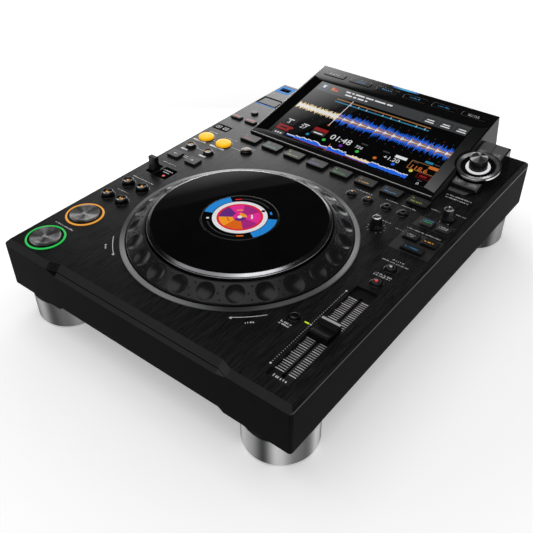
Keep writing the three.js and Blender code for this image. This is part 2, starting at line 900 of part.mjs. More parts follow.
function trimRing() {
  return turned([
    [trimInnerRadius, -deckSkin - trimSleeve],
    [trimInnerRadius + trimSleeve, -deckSkin - trimSleeve],
    [trimInnerRadius + trimSleeve, seatGap],
    [trimOuterRadius, seatGap],
    [trimOuterRadius, trimRise / 2],
    [trimOuterRadius - trimRise / 2, trimRise],
    [trimInnerRadius + trimRise / 4, trimRise],
    [trimInnerRadius, trimRise * 3 / 4],
    [trimInnerRadius, -deckSkin - trimSleeve],
  ], jogSides);
}

const wheelRadius = trimInnerRadius - wheelGap;
const wheelLipRadius = wheelRadius - wheelRimWidth;
const wheelSlope = (wheelLipRise - wheelEdgeRise) / (wheelRadius - wheelLipRadius);
const webTop = webBottom + webThickness;
const platterRadius = wheelLipRadius - wheelLipWidth - platterGroove;

function dimpleTools() {
  const ballRadius = (dimpleRadius ** 2 + dimpleDepth ** 2) / (2 * dimpleDepth);
  const arc = Array.from({ length: dimpleSteps + 1 }, (_, step) => {
    const radius = dimpleRadius * step / dimpleSteps;
    return [radius, ballRadius - dimpleDepth - Math.sqrt(ballRadius ** 2 - radius ** 2)];
  });
  const bowl = turned([...arc, [dimpleRadius * 5 / 4, dimpleRadius], [0, dimpleRadius]], dimpleSides);
  const middle = (wheelRadius + wheelLipRadius) / 2;
  const height = wheelEdgeRise + (wheelRadius - middle) * wheelSlope;
  return Array.from({ length: dimpleCount }, (_, index) => {
    const turn = new THREE.Matrix4().makeRotationZ((index + dimpleStart) * 2 * Math.PI / dimpleCount);
    const place = new THREE.Matrix4().makeRotationY(Math.atan(wheelSlope));
    place.setPosition(middle, 0, height);
    return moved(bowl, turn.multiply(place));
  });
}

function jogWheel() {
  const ledge = wheelLipRadius + wheelLipWidth;
  const shellDrop = wheelShell / Math.cos(Math.atan(wheelSlope));
  const skirtInner = wheelRadius - wheelShell;
  const under = (radius) => wheelEdgeRise + (wheelRadius - radius) * wheelSlope - shellDrop;
  return cut(turned([
    [postShaftRadius + runningGap, -hubDrop],
    [hubRadius, -hubDrop],
    [hubRadius, webBottom],
    [ledge, webBottom],
    [ledge, under(ledge)],
    [skirtInner, under(skirtInner)],
    [skirtInner, -wheelSkirtDrop],
    [wheelRadius, -wheelSkirtDrop],
    [wheelRadius, wheelEdgeRise],
    [wheelLipRadius, wheelLipRise],
    [wheelLipRadius - wheelLipWidth, wheelLipRise],
    [wheelLipRadius - wheelLipWidth, webTop],
    [postShaftRadius + runningGap, webTop],
    [postShaftRadius + runningGap, -hubDrop],
  ], jogSides), ...dimpleTools());
}

function jogPlatter() {
  const hole = displayRadius + runningGap;
  const seat = platterRadius - platterSeatWidth;
  const under = platterRise - platterThickness;
  return turned([
    [hole, under],
    [seat, under],
    [seat, webTop + seatGap],
    [platterRadius, webTop + seatGap],
    [platterRadius, platterRise - platterBevel],
    [platterRadius - platterBevel, platterRise],
    [hole, platterRise],
    [hole, under],
  ], jogSides);
}

const displayUnder = webTop + displaySeatGap + postFlange + seatGap;

function jogPost() {
  const bottom = floorDrop + seatGap;
  const top = displayUnder - seatGap;
  return turned([
    [0, bottom],
    [postFootRadius, bottom],
    [postFootRadius, bottom + postFootHeight],
    [postShaftRadius, bottom + postFootHeight],
    [postShaftRadius, top - postFlange],
    [displayRadius - displaySeatGap, top - postFlange],
    [displayRadius - displaySeatGap, top],
    [0, top],
  ], midSides);
}

function jogDisplay() {
  return rod(displayRadius, displayUnder, platterRise, jogSides);
}

// Tempo fader, with its origin on the deck at the middle of its travel

function faderTray() {
  const [width, length] = faderOpening;
  const top = -deckSkin - seatGap;
  const floorZ = -faderDepth;
  const under = floorZ - faderFloor;
  const bottom = under - faderBodyDrop;
  const halfSlot = faderTravel + capBlade[1] / 2 + seatGap * 3;
  const reach = [width / 2 + faderFlange, length / 2 + faderFlange];
  const flange = cut(
    block([-reach[0], -reach[1], under], [reach[0], reach[1], top]),
    block([-width / 2, -length / 2, floorZ], [width / 2, length / 2, overrun]));
  const body = block(
    [-faderBodyWidth / 2, -halfSlot - faderWall, bottom],
    [faderBodyWidth / 2, halfSlot + faderWall, under + faderFloor / 2]);
  const hollow = block(
    [-faderBodyWidth / 2 + faderWall, -halfSlot, bottom + faderWall],
    [faderBodyWidth / 2 - faderWall, halfSlot, under - faderWall]);
  const slot = block([-faderSlot / 2, -halfSlot, bottom + faderWall], [faderSlot / 2, halfSlot, overrun]);
  return cut(joined(flange, body), hollow, slot);
}

function tempoSlider() {
  const [width, length] = capSize;
  const bottom = -faderDepth + runningGap;
  const side = [
    [-length / 2, bottom],
    [length / 2, bottom],
    [length / 2, capRise - keyBevel],
    [length / 2 - keyBevel, capRise],
    [length / 2 - capLip, capRise],
    [length / 2 - 2 * capLip, capValley],
    [-length / 2 + 2 * capLip, capValley],
    [-length / 2 + capLip, capRise * 3 / 4],
    [-length / 2 + keyBevel, capRise * 3 / 4],
    [-length / 2, capRise * 3 / 4 - keyBevel],
  ];
  const blade = block(
    [-capBlade[0] / 2, -capBlade[1] / 2, -faderDepth - capBladeDrop],
    [capBlade[0] / 2, capBlade[1] / 2, 0]);
  return joined(crossPrism(side, -width / 2, width / 2), blade);
}

// Screen housing, its x measured from its own middle

const housingMatrix = tiltedAt(0, faceFront, faceBase);

// Moves each edge of an outline inwards by its own distance.
function inset(outline, distances) {
  const count = outline.length;
  const lines = outline.map(([x, y], index) => {
    const [nextX, nextY] = outline[(index + 1) % count];
    const length = Math.hypot(nextX - x, nextY - y);
    const normal = [-(nextY - y) / length, (nextX - x) / length];
    return [...normal, normal[0] * x + normal[1] * y + distances[index]];
  });
  return lines.map(([a1, b1, c1], index) => {
    const [a0, b0, c0] = lines[(index + count - 1) % count];
    const area = a0 * b1 - a1 * b0;
    return [(c0 * b1 - c1 * b0) / area, (a0 * c1 - a1 * c0) / area];
  });
}

function glassRing(margin, height) {
  const width = glassWidth / 2 + margin;
  const near = glassFront - margin;
  const far = faceLength - glassRear + margin;
  return [[-width, near, height], [width, near, height], [width, far, height], [-width, far, height]];
}

function displayHousing() {
  const seat = deckTop + seatGap;
  const hoodFront = bodyRear + seatGap;
  const outline = [
    [faceFront, seat],
    [hoodFront, seat],
    [hoodFront, hoodBottom],
    [overallDepth / 2, hoodBottom],
    [faceRear, overallHeight],
    [faceFront, faceBase],
  ];
  const cavity = inset(outline, [-overrun, housingWall, housingWall, housingWall, faceWall, housingWall]);
  const inner = housingWidth / 2 - housingWall;
  const dish = [podCentre[0] - housingShift, podCentre[1], podCentre[2]];
  const notchRadius = dishRadius + dishNotchGap;
  const cheek = block(
    [dish[0] - notchRadius - housingWall, dish[1] - notchRadius - housingWall, 0],
    [housingWidth / 2, dish[1] + notchRadius + housingWall, overallHeight]);
  const notch = moved(rod(notchRadius, -overrun, overallHeight / 2, dishSides), tiltedAt(...dish));
  const bezel = [
    [-housingWidth / 2 + bezelSide, bezelFront, 0],
    [housingWidth / 2 - bezelSide, bezelFront, 0],
    [housingWidth / 2 - bezelSide, faceLength - bezelRear, 0],
    [-housingWidth / 2 + bezelSide, faceLength - bezelRear, 0],
  ];
  const above = bezel.map(([x, y]) => [x, y, overrun]);
  const pocketFloor = -bezelDrop - seatGap - glassThickness;
  const faceTools = [
    lofted([glassRing(seatGap, -bezelDrop), bezel, above]),
    lofted([glassRing(seatGap, pocketFloor), glassRing(seatGap, 0)]),
    lofted([glassRing(-glassLedge, -faceWall - overrun), glassRing(-glassLedge, 0)]),
    ...browsePlaces().map((place) => {
      const [width, depth] = browseKeySize.map((value) => value + 2 * keyGap);
      return prism(rectangle(width, depth, keyCorner + keyGap, place), -faceWall - overrun, overrun);
    }),
  ].map((tool) => moved(tool, housingMatrix));
  return cut(
    crossPrism(outline, -housingWidth / 2, housingWidth / 2),
    cut(crossPrism(cavity, -inner, inner), cheek),
    notch, ...faceTools);
}

function browsePlaces() {
  return Array.from({ length: browseCount }, (_, index) => [
    browsePitch * (index - (browseCount - 1) / 2), faceLength - browseRearInset,
  ]);
}

function displayGlass() {
  const top = -bezelDrop;
  return lofted([glassRing(0, top - glassThickness), glassRing(0, top)]);
}

// Keys along the top of the screen, on one bar behind the face.
function browseKeys() {
  const places = browsePlaces();
  const barTop = -faceWall - seatGap;
  const reach = browsePitch * (browseCount - 1) / 2 + browseKeySize[0] / 2;
  const along = places[0][1];
  const bar = block(
    [-reach, along - browseKeySize[1] / 2 - keyLip, barTop - keyFlange],
    [reach, along + browseKeySize[1] / 2 + keyLip, barTop]);
  const caps = places.map((place) => {
    const stem = rectangle(...browseKeySize, keyCorner, place);
    const crownSize = browseKeySize.map((value) => value - keyBevel);
    const crown = rectangle(...crownSize, keyCorner - keyBevel / 2, place);
    return lofted([
      raised(stem, barTop - keyFlange / 2),
      raised(stem, browseRise - keyBevel / 2),
      raised(crown, browseRise),
    ]);
  });
  return joined(bar, ...caps);
}

// Selector pod, its x measured from its own middle

const podMatrix = tiltedAt(0, podCentre[1], podCentre[2]);
const podSkinTop = -podSkinDrop;
const podSkinBottom = podSkinTop - podSkin;

function onPodFace(along, height) {
  const point = new THREE.Vector3(0, along, height).applyMatrix4(podMatrix);
  return [point.y, point.z];
}

function podKeyArea(near, far, margin) {
  const reach = podWidth / 2 - podBorder + margin;
  return cut(
    block([-reach, near - margin, -overrun * 2], [reach, far + margin, overrun]),
    rod(dishRadius + dishKeyGap - margin, -overrun * 3, overrun * 2, dishSides));
}

function selectorPod() {
  const seat = deckTop + seatGap;
  const nearTop = onPodFace(-podFrontReach - podBorder, podSkinTop);
  const farTop = onPodFace(podRearReach + podBorder, podSkinTop);
  const outline = [
    [nearTop[0] - podFrontSlope, seat],
    [farTop[0] + podRearSlope, seat],
    farTop,
    nearTop,
  ];
  const cavity = inset(outline, [-overrun, podSkin, podSkin, podSkin]);
  const inner = podWidth / 2 - podBorder;
  const length = outline[1][0] - outline[0][0];
  const middle = (outline[1][0] + outline[0][0]) / 2;
  const plan = rectangle(podWidth + 2 * podCorner, length, podCorner, [-podCorner, middle]);
  const innerPlan = inset(plan, plan.map(() => podBorder));
  const shell = cut(
    crossPrism(outline, -podWidth / 2, podWidth / 2).intersect(prism(plan, 0, overallHeight)),
    crossPrism(cavity, -inner, inner).intersect(prism(innerPlan, 0, overallHeight)));
  const dish = turned([
    [selectorShaftRadius + runningGap, podSkinBottom],
    [dishStemRadius, podSkinBottom],
    [dishStemRadius, dishUndercut],
    [dishRadius - dishRim, dishUndercut],
    [dishRadius, dishUndercut + dishRim],
    [dishRadius, dishRise - keyBevel / 2],
    [dishRadius - keyBevel / 2, dishRise],
    [dishRadius - dishRim, dishRise],
    [selectorGripRadius + 2 * dishRim, dishFloor],
    [selectorShaftRadius + runningGap, dishFloor],
    [selectorShaftRadius + runningGap, podSkinBottom],
  ], dishSides);
  const openings = [
    podKeyArea(-podFrontReach, 0, seatGap),
    podKeyArea(0, podRearReach, seatGap),
    rod(selectorShaftRadius + runningGap, -overrun * 2, overrun, dishSides),
  ];
  return joined(cut(shell, ...openings.map((tool) => moved(tool, podMatrix))), moved(dish, podMatrix));
}

// Four keys around the dish, on one plate under the pod's skin.
function selectorKeys() {
  const plateTop = podSkinBottom - seatGap;
  const reach = podWidth / 2 - podBorder - seatGap * 2;
  const plate = cut(
    block([-reach, -podFrontReach, plateTop - keyFlange], [reach, podRearReach, plateTop]),
    rod(selectorFlangeRadius + keyGap, -overrun * 3, overrun, keySides));
  const split = block(
    [-podKeySplit / 2, -podFrontReach - overrun, podSkinTop],
    [podKeySplit / 2, podRearReach + overrun, overrun]);
  const band = block([-reach, -podFrontReach, plateTop - keyFlange / 2], [reach, podRearReach, 0]);
  const caps = [
    podKeyArea(-podFrontReach, 0, -seatGap),
    podKeyArea(0, podRearReach, -seatGap),
  ].map((area) => cut(band.intersect(area), split));
  return joined(plate, ...caps);
}

// Shaft that the selector knob turns on; it is pushed down with the knob.
function selectorShaft() {
  const flangeTopZ = podSkinBottom - seatGap;
  const bottom = flangeTopZ - keyFlange;
  const top = dishFloor + selectorLift + selectorBoreDepth;
  return turned([
    [0, bottom],
    [selectorFlangeRadius, bottom],
    [selectorFlangeRadius, flangeTopZ],
    [selectorShaftRadius, flangeTopZ],
    [selectorShaftRadius, top],
    [0, top],
  ], keySides);
}

function selectorKnob() {
  const bottom = dishFloor + selectorLift;
  const fluted = Array.from({ length: 2 * selectorGripTeeth }, (_, index) => {
    const turn = index * Math.PI / selectorGripTeeth;
    const reach = index % 2 ? selectorGripRadius - selectorGripDepth : selectorGripRadius;
    return [reach * Math.cos(turn), reach * Math.sin(turn)];
  });
  const crown = turned([
    [0, bottom + selectorGripHeight / 2],
    [selectorRadius, bottom + selectorGripHeight / 2],
    [selectorRadius, selectorRise - keyBevel],
    [selectorRadius - keyBevel, selectorRise],
    [selectorRadius / 2, selectorRise - keyBevel / 2],
    [0, selectorRise - keyBevel],
  ], midSides);
  const boreTop = bottom + selectorBoreDepth + seatGap;
  const bore = rod(selectorShaftRadius + runningGap, bottom - overrun, boreTop, keySides);
  return cut(joined(crown, prism(fluted, bottom, bottom + selectorGripHeight)), bore);
}

// Media block and the card door, with their origin on the deck at the card opening's middle

function mediaBlock() {
  const port = [portPlace[0] - cardPlace[0], portPlace[1] - cardPlace[1]];
  const [width, depth] = cardOpening;
  const left = -width / 2;
  const right = width / 2 + mediaBlockMargin;
  const top = -deckSkin - seatGap;
  const near = -depth / 2 - mediaBlockMargin;
  const far = port[1] + portSlot[1] / 2 + 2 * mediaBlockMargin;
  const casting = block([left, near, -mediaBlockDrop], [right, far, top]);
  const hingeRoom = 2 * cardHingeRadius + keyGap;
  const lift = prism(
    rectangle(width - 2 * seatGap, depth - 2 * seatGap - hingeRoom, keyCorner, [0, -hingeRoom / 2]),
    -mediaBlockDrop, -cardDoorThickness - seatGap);
  const wellY = -cardHingeRadius;
  return cut(
    joined(casting, lift),
    prism(rectangle(...cardWell, keyCorner, [0, wellY]), -cardDoorThickness - cardWellDepth, overrun),
    block(
      [-cardSlot[0] / 2, wellY - cardSlot[1] / 2, -cardDoorThickness - cardWellDepth - cardSlotDepth],
      [cardSlot[0] / 2, wellY + cardSlot[1] / 2, overrun]),
    prism(rectangle(...portSlot, portSlot[1] / 8, port), -portSlotDepth, overrun));
}

// The door's origin is on its hinge axis, at the rear edge of its opening.
const cardHinge = [
  cardPlace[0],
  cardPlace[1] + cardOpening[1] / 2 - keyGap - cardHingeRadius,
  -cardDoorThickness / 2,
];

function cardDoor() {
  const half = cardOpening[0] / 2 - keyGap;
  const length = cardOpening[1] - 2 * keyGap - cardHingeRadius;
  return joined(
    block([-half, -length, -cardDoorThickness / 2], [half, 0, cardDoorThickness / 2]),
    crossRod(cardDoorThickness / 2, -half, half, keySides, [0, 0]));
}

// Rear panel and its jacks

function rearX(share) {
  return (share - 1 / 2) * bodyWidth;
}

const jackZ = floorTop + jackRise;

function rearCut(share, [width, height]) {
  const x = rearX(share);
  return block(
    [x - width / 2 - seatGap, bodyRear - panelThickness - overrun, jackZ - height / 2 - seatGap],
    [x + width / 2 + seatGap, bodyRear + overrun, jackZ + height / 2 + seatGap]);
}

function rearPanel() {
  const inner = bodyWidth / 2 - wall - seatGap;
  const plate = block([-inner, bodyRear - panelThickness, floorTop + seatGap], [inner, bodyRear, trayTop]);
  const rounds = [...phonoShares.map((share) => [share, phonoRadius]), [controlShare, controlRadius]];
  const x = rearX(switchShare);
  const boreRadius = rockerPinRadius + runningGap;
  const ears = [-1, 1].map((side) => {
    const near = x + side * (rockerSize[0] / 2 + runningGap);
    const far = near + side * rockerEar;
    return cut(
      block(
        [Math.min(near, far), bodyRear - rockerDepth, jackZ - rockerEar * 2],
        [Math.max(near, far), bodyRear - panelThickness / 2, jackZ + rockerEar * 2]),
      crossRod(boreRadius, x - rockerSize[0], x + rockerSize[0], keySides, [rockerAxis(), jackZ]));
  });
  return joined(cut(
    plate,
    ...rounds.map(([share, radius]) => rearRod(
      radius + seatGap, panelInside - overrun, bodyRear + overrun, keySides, [rearX(share), jackZ])),
    rearCut(networkShare, networkShell),
    rearCut(serialShare, serialShell),
    rearCut(inletShare, inletShell),
    rearCut(switchShare, rockerSize)), ...ears);
}

function rockerAxis() {
  return bodyRear - rockerDepth + rockerEar * 2;
}

function jackBoard() {
  const boardZ = floorTop + jackBoardRise;
  const board = block(
    [jackBoardX[0], jackBoardY[0], boardZ],
    [jackBoardX[1], jackBoardY[1], boardZ + boardThickness]);
  const inside = panelInside;
  const phonos = phonoShares.flatMap((share) => [
    block(
      [rearX(share) - phonoBlock[0] / 2, inside - phonoBlockDepth, boardZ],
      [rearX(share) + phonoBlock[0] / 2, inside, jackZ + phonoBlock[1] / 2]),
    rearRod(phonoRadius, inside - jackStandoff, bodyRear + phonoReach, keySides, [rearX(share), jackZ]),
  ]);
  const controlX = rearX(controlShare);
  const controlRear = bodyRear + controlReach;
  const control = cut(
    joined(
      block(
        [controlX - phonoBlock[0] / 2, inside - phonoBlockDepth, boardZ],
        [controlX + phonoBlock[0] / 2, inside, jackZ + phonoBlock[1] / 2]),
      rearRod(controlRadius, inside - jackStandoff, controlRear, keySides, [controlX, jackZ])),
    rearRod(
      controlBore, controlRear - phonoBlockDepth, controlRear + overrun, smallSides, [controlX, jackZ]));
  const sockets = [
    [networkShare, networkShell, networkSlot, networkDepth, networkSlotDepth],
    [serialShare, serialShell, serialSlot, serialDepth, serialSlotDepth],
  ].map(([share, shell, slot, depth, slotDepth]) => cut(
    joined(
      block(
        [rearX(share) - shell[0] / 2, bodyRear - depth, jackZ - shell[1] / 2],
        [rearX(share) + shell[0] / 2, bodyRear + socketReach, jackZ + shell[1] / 2]),
      block(
        [rearX(share) - shell[0] / 2, bodyRear - depth, boardZ],
        [rearX(share) + shell[0] / 2, inside, jackZ])),
    block(
      [rearX(share) - slot[0] / 2, bodyRear + socketReach - slotDepth, jackZ - slot[1] / 2],
      [rearX(share) + slot[0] / 2, bodyRear + overrun, jackZ + slot[1] / 2])));
  return joined(board, ...phonos, control, ...sockets);
}

function mainsInlet() {
  const x = rearX(inletShare);
  const rear = bodyRear + seatGap + inletFlangeThickness;
  return cut(
    joined(
      block(
        [x - inletShell[0] / 2, bodyRear - inletDepth, jackZ - inletShell[1] / 2],
        [x + inletShell[0] / 2, rear, jackZ + inletShell[1] / 2]),
      block(
        [x - inletFlange[0] / 2, bodyRear + seatGap, jackZ - inletFlange[1] / 2],
        [x + inletFlange[0] / 2, rear, jackZ + inletFlange[1] / 2])),
    block(
      [x - inletSlot[0] / 2, rear - inletSlotDepth, jackZ - inletSlot[1] / 2],
      [x + inletSlot[0] / 2, rear + overrun, jackZ + inletSlot[1] / 2]));
}

// Rocker with its pin; the origin is on the pin's axis.
function powerSwitch() {
  const [width, height] = rockerSize;
  const inner = rockerAxis() - bodyRear;
  const tip = rockerReach - inner;
  const side = [
    [-rockerPinRadius * 2, -height / 4],
    [tip - rockerReach, -height / 2 + keyGap],
    [tip, -height / 2 + keyGap],
    [tip - rockerReach / 2, 0],
    [tip, height / 2 - keyGap],
    [tip - rockerReach, height / 2 - keyGap],
    [-rockerPinRadius * 2, height / 4],
  ];
  const halfPin = width / 2 + rockerEar;
  return joined(
    crossPrism(side, -width / 2 + keyGap / 2, width / 2 - keyGap / 2),
    crossRod(rockerPinRadius, -halfPin, halfPin, keySides, [0, 0]));
}

// Boards inside

function mainBoard() {
  const margin = wall + sideChamfer;
  const near = front + margin;
  const far = onDeck([0, padFrontShare])[1] + padSize[1] / 2 + keyLip + seatGap;
  const mediaFar = onDeck(stopPlaceShares)[1] + dotKeyRadius + 2 * keyLip;
  const mediaRight = onDeck([mediaSideShares[1], 0])[0] + mediaKeySize[0] / 2 + keyLip;
  const half = bodyWidth / 2 - margin;
  const sheet = joined(
    block([-half, near, boardBottom], [half, far, boardTop]),
    block([-half, far - overrun, boardBottom], [mediaRight, mediaFar, boardTop]));
  const switches = deckKeys.map(({ place }) => {
    return rod(switchRadius, boardTop - boardThickness / 2, switchTop, switchSides, place);
  });
  const faderReach = faderOpening.map((value) => value / 2 + 2 * faderFlange);
  const faderHole = block(
    [faderPlace[0] - faderReach[0], faderPlace[1] - faderReach[1], -overallHeight],
    [faderPlace[0] + faderReach[0], faderPlace[1] + faderReach[1], 0]);
  const leverHole = block(
    [leverPlace[0] - leverPinLength * 2 / 3, leverPlace[1] - leverEarDepth, -overallHeight],
    [leverPlace[0] + leverPinLength * 2 / 3, leverPlace[1] + leverEarDepth, 0]);
  const jogClear = rod(trimOuterRadius + seatGap, -overallHeight, 0, jogSides, jogPlace);
  return joined(cut(sheet, jogClear, faderHole, leverHole), ...switches);
}

function powerSupply() {
  const [width, depth] = supplySize;
  const x = -bodyWidth / 2 + supplySideInset + width / 2;
  const y = bodyRear - supplyRearInset - depth / 2;
  const boardZ = floorTop + supplyLegs;
  const topZ = boardZ + boardThickness;
  const board = block([x - width / 2, y - depth / 2, boardZ], [x + width / 2, y + depth / 2, topZ]);
  const legs = [-1, 1].flatMap((side) => [-1, 1].map((end) => rod(
    postRadius, floorTop + seatGap, topZ - boardThickness / 2, smallSides,
    [x + side * (width / 2 - postRadius), y + end * (depth / 2 - postRadius)])));
  const [tw, td, th] = supplyTransformer;
  const transformer = block([x - tw / 2, y - td / 2, boardZ], [x + tw / 2, y + td / 2, topZ + th]);
  const canX = x - width / 2 + 2 * supplyCapacitorRadius;
  const cans = [-1, 1].map((end) => rod(
    supplyCapacitorRadius, boardZ, topZ + supplyCapacitorHeight, keySides,
    [canX, y + end * supplyCapacitorRadius * 5 / 4]));
  const [sw, sd, sh] = supplyHeatSink;
  const sinkX = x + width / 2 - 3 * sw;
  const sink = block([sinkX, y - sd / 2, boardZ], [sinkX + sw, y + sd / 2, topZ + sh]);
  return joined(board, ...legs, transformer, ...cans, sink);
}

// Assembly

const looks = { spun: spunMetal, gloss: glossPlastic, key: keyPlastic, amber: amberPlastic };

const player = new THREE.Group();
player.add(mesh("base_tray", baseTray(), blackMetal));
player.add(mesh("rear_panel", rearPanel(), blackMetal));
player.add(mesh("jack_board", jackBoard(), boardGreen));
player.add(mesh("mains_inlet", mainsInlet(), blackPlastic));
player.add(mesh("power_supply", powerSupply(), supplySteel));
player.add(mesh("power_switch", powerSwitch(), blackPlastic, rearX(switchShare), rockerAxis(), jackZ));

const footPlaces = {
  foot_front_left: [-bodyWidth / 2 + footSideInset, front + footFrontInset],
  foot_front_right: [bodyWidth / 2 - footSideInset, front + footFrontInset],
  foot_rear_left: [-bodyWidth / 2 + footSideInset, bodyRear - footRearInset],
  foot_rear_right: [bodyWidth / 2 - footSideInset, bodyRear - footRearInset],
};
for (const [name, place] of Object.entries(footPlaces)) {
  player.add(mesh(name, foot(), footMetal, ...place));
}

const deck = new THREE.Group();
deck.position.z = deckTop;
player.add(deck);
deck.add(mesh("deck_panel", deckPanel(), blackMetal));
deck.add(mesh("main_board", mainBoard(), boardGreen));
deck.add(mesh("jog_trim_ring", trimRing(), trimSilver, ...jogPlace));
deck.add(mesh("jog_post", jogPost(), socketGrey, ...jogPlace));
deck.add(mesh("jog_wheel", jogWheel(), blackPlastic, ...jogPlace));
deck.add(mesh("jog_platter", jogPlatter(), glossPlastic, ...jogPlace));
deck.add(mesh("jog_display", jogDisplay(), screenGlass, ...jogPlace));
deck.add(mesh("fader_tray", faderTray(), blackPlastic, ...faderPlace));
deck.add(mesh("tempo_slider", tempoSlider(), keyPlastic, ...faderPlace));
deck.add(mesh("direction_lever", directionLever(), blackPlastic, ...leverPlace, -leverPivotDrop));
deck.add(mesh("vinyl_speed_knob", smallKnob(), blackPlastic, ...speedKnobPlace));
deck.add(mesh("jog_adjust_knob", smallKnob(), blackPlastic, ...adjustKnobPlace));
deck.add(mesh("media_block", mediaBlock(), socketGrey, ...cardPlace));
deck.add(mesh("card_door", cardDoor(), doorGrey, ...cardHinge));
for (const key of [...singleKeys, ...padKeys]) {
  const cap = key.look === "spun" ? transportCap(key) : keyCap(key);
  deck.add(mesh(key.name, cap, looks[key.look], ...key.place));
}
for (const group of keyGroups) {
  deck.add(mesh(group.name, linkedCaps(group), keyPlastic, ...group.keys[0].place));
}

player.add(mesh("display_housing", displayHousing(), blackPlastic, housingShift));
const face = new THREE.Group();
face.position.set(housingShift, faceFront, faceBase);
face.rotation.x = faceTilt;
player.add(face);
face.add(mesh("display_glass", displayGlass(), screenGlass));
face.add(mesh("browse_keys", browseKeys(), keyPlastic));

player.add(mesh("selector_pod", selectorPod(), glossPlastic, podCentre[0]));
const pod = new THREE.Group();
pod.position.set(...podCentre);
pod.rotation.x = faceTilt;
player.add(pod);
pod.add(mesh("selector_keys", selectorKeys(), keyPlastic));
pod.add(mesh("selector_shaft", selectorShaft(), socketGrey));
pod.add(mesh("selector_knob", selectorKnob(), spunMetal));

export default player;
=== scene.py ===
import math
import random

import bmesh
import bpy
from mathutils import Matrix, Vector


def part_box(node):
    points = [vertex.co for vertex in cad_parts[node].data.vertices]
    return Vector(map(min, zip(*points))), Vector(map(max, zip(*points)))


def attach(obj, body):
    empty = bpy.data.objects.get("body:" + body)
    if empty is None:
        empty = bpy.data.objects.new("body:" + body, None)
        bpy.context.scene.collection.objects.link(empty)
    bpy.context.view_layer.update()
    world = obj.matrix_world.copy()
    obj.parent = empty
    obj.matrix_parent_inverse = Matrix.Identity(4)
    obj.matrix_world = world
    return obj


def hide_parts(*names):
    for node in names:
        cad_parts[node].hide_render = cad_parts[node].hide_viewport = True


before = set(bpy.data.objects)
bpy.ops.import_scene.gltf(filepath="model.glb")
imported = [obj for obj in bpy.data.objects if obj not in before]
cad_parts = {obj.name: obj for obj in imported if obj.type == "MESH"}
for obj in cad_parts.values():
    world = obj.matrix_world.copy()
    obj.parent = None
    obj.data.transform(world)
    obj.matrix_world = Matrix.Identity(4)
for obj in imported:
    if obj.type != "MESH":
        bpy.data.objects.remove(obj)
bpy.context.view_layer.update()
mm = 0.001


# Camera, set where the photographer stood: in front of the player's right corner and above it.
# Its height, turn and lens were fitted to the case corners, the feet, the wheel and the screen.

scene = bpy.context.scene
scene.view_settings.view_transform = "Standard"


def linked(name, data):
    made = bpy.data.objects.new(name, data)
    scene.collection.objects.link(made)
    return made


def turned_by(degrees, axis="Z", size=4):
    return Matrix.Rotation(math.radians(degrees), size, axis)


camera_place = Vector((351.09, -484.45, 469.95)) * mm
camera_heading, camera_dip, camera_roll = 37.83, 38.52, -0.27
camera = linked("camera", bpy.data.cameras.new("camera"))
camera.data.lens = 47.63
camera.data.sensor_width = 36
camera.data.shift_x = -0.0159
camera.data.shift_y = -0.0048
camera.data.clip_start = 0.01
camera.matrix_world = (Matrix.Translation(camera_place) @ turned_by(camera_heading)
                       @ turned_by(90 - camera_dip, "X") @ turned_by(camera_roll))
scene.camera = camera


# Studio: a pale floor, even light from all round, one low softbox behind the left rear corner that
# lies on the wheel and the screen, and a wide soft lamp overhead. Bright and dark screens stand round
# the set, low down; looking up, the room is dark, as black gloss needs.

def node(tree, kind, **settings):
    made = tree.nodes.new(kind)
    for name, value in settings.items():
        setattr(made, name, value)
    return made


def put(tree, socket, value):
    """Set a socket to a constant, or link it to the output of another node."""
    if isinstance(value, bpy.types.NodeSocket):
        tree.links.new(value, socket)
    else:
        socket.default_value = value


def sums(tree, operation, *values):
    made = node(tree, "ShaderNodeMath", operation=operation)
    for socket, value in zip(made.inputs, values):
        put(tree, socket, value)
    return made.outputs[0]


def product(tree, first, second):
    return sums(tree, "MULTIPLY", first, second)


def vectors(tree, operation, *values):
    made = node(tree, "ShaderNodeVectorMath", operation=operation)
    for socket, value in zip(made.inputs, values):
        put(tree, socket, value)
    return made.outputs["Value" if operation in ("LENGTH", "DOT_PRODUCT") else "Vector"]


def between(tree, value, low, high, first, last):
    """The value's place from low to high, as one from first to last."""
    made = node(tree, "ShaderNodeMapRange")
    amounts = {"Value": value, "From Min": low, "From Max": high, "To Min": first, "To Max": last}
    for label, amount in amounts.items():
        put(tree, made.inputs[label], amount)
    return made.outputs["Result"]


def split(tree, vector):
    made = node(tree, "ShaderNodeSeparateXYZ")
    tree.links.new(vector, made.inputs[0])
    return made.outputs


def of_surface(tree, label):
    return node(tree, "ShaderNodeNewGeometry").outputs[label]


def finish(name, **sockets):
    """A new material with some of its shader's sockets set."""
    made = bpy.data.materials.new(name)
    made.use_nodes = True
    shader = made.node_tree.nodes["Principled BSDF"].inputs
    for label, value in sockets.items():
        shader[label.replace("_", " ")].default_value = value
    return made, made.node_tree, shader


world = bpy.data.worlds.new("studio")
world.use_nodes = True
scene.world = world
sky = world.node_tree
background = sky.nodes["Background"].inputs
rays = node(sky, "ShaderNodeLightPath").outputs
heading = split(sky, node(sky, "ShaderNodeTexCoord").outputs["Generated"])
screens_round = 7
waves_round = sums(sky, "SINE", product(sky, sums(sky, "ARCTAN2", heading["X"], heading["Y"]), screens_round))
flags = between(sky, waves_round, -0.5, 0.5, 0.15, 1.5)
room = sums(sky, "ADD", product(sky, flags, between(sky, heading["Z"], 0.05, 0.4, 0.8, 0)), 0.02)
seen = sums(sky, "MAXIMUM", rays["Is Camera Ray"], rays["Is Transmission Ray"])
mirrored = product(sky, room, rays["Is Glossy Ray"])
soft = sums(sky, "SUBTRACT", sums(sky, "SUBTRACT", 1, seen), rays["Is Glossy Ray"])
even_light = product(sky, sums(sky, "MAXIMUM", soft, 0), 0.5)
put(sky, background["Strength"], sums(sky, "ADD", sums(sky, "ADD", seen, mirrored), even_light))
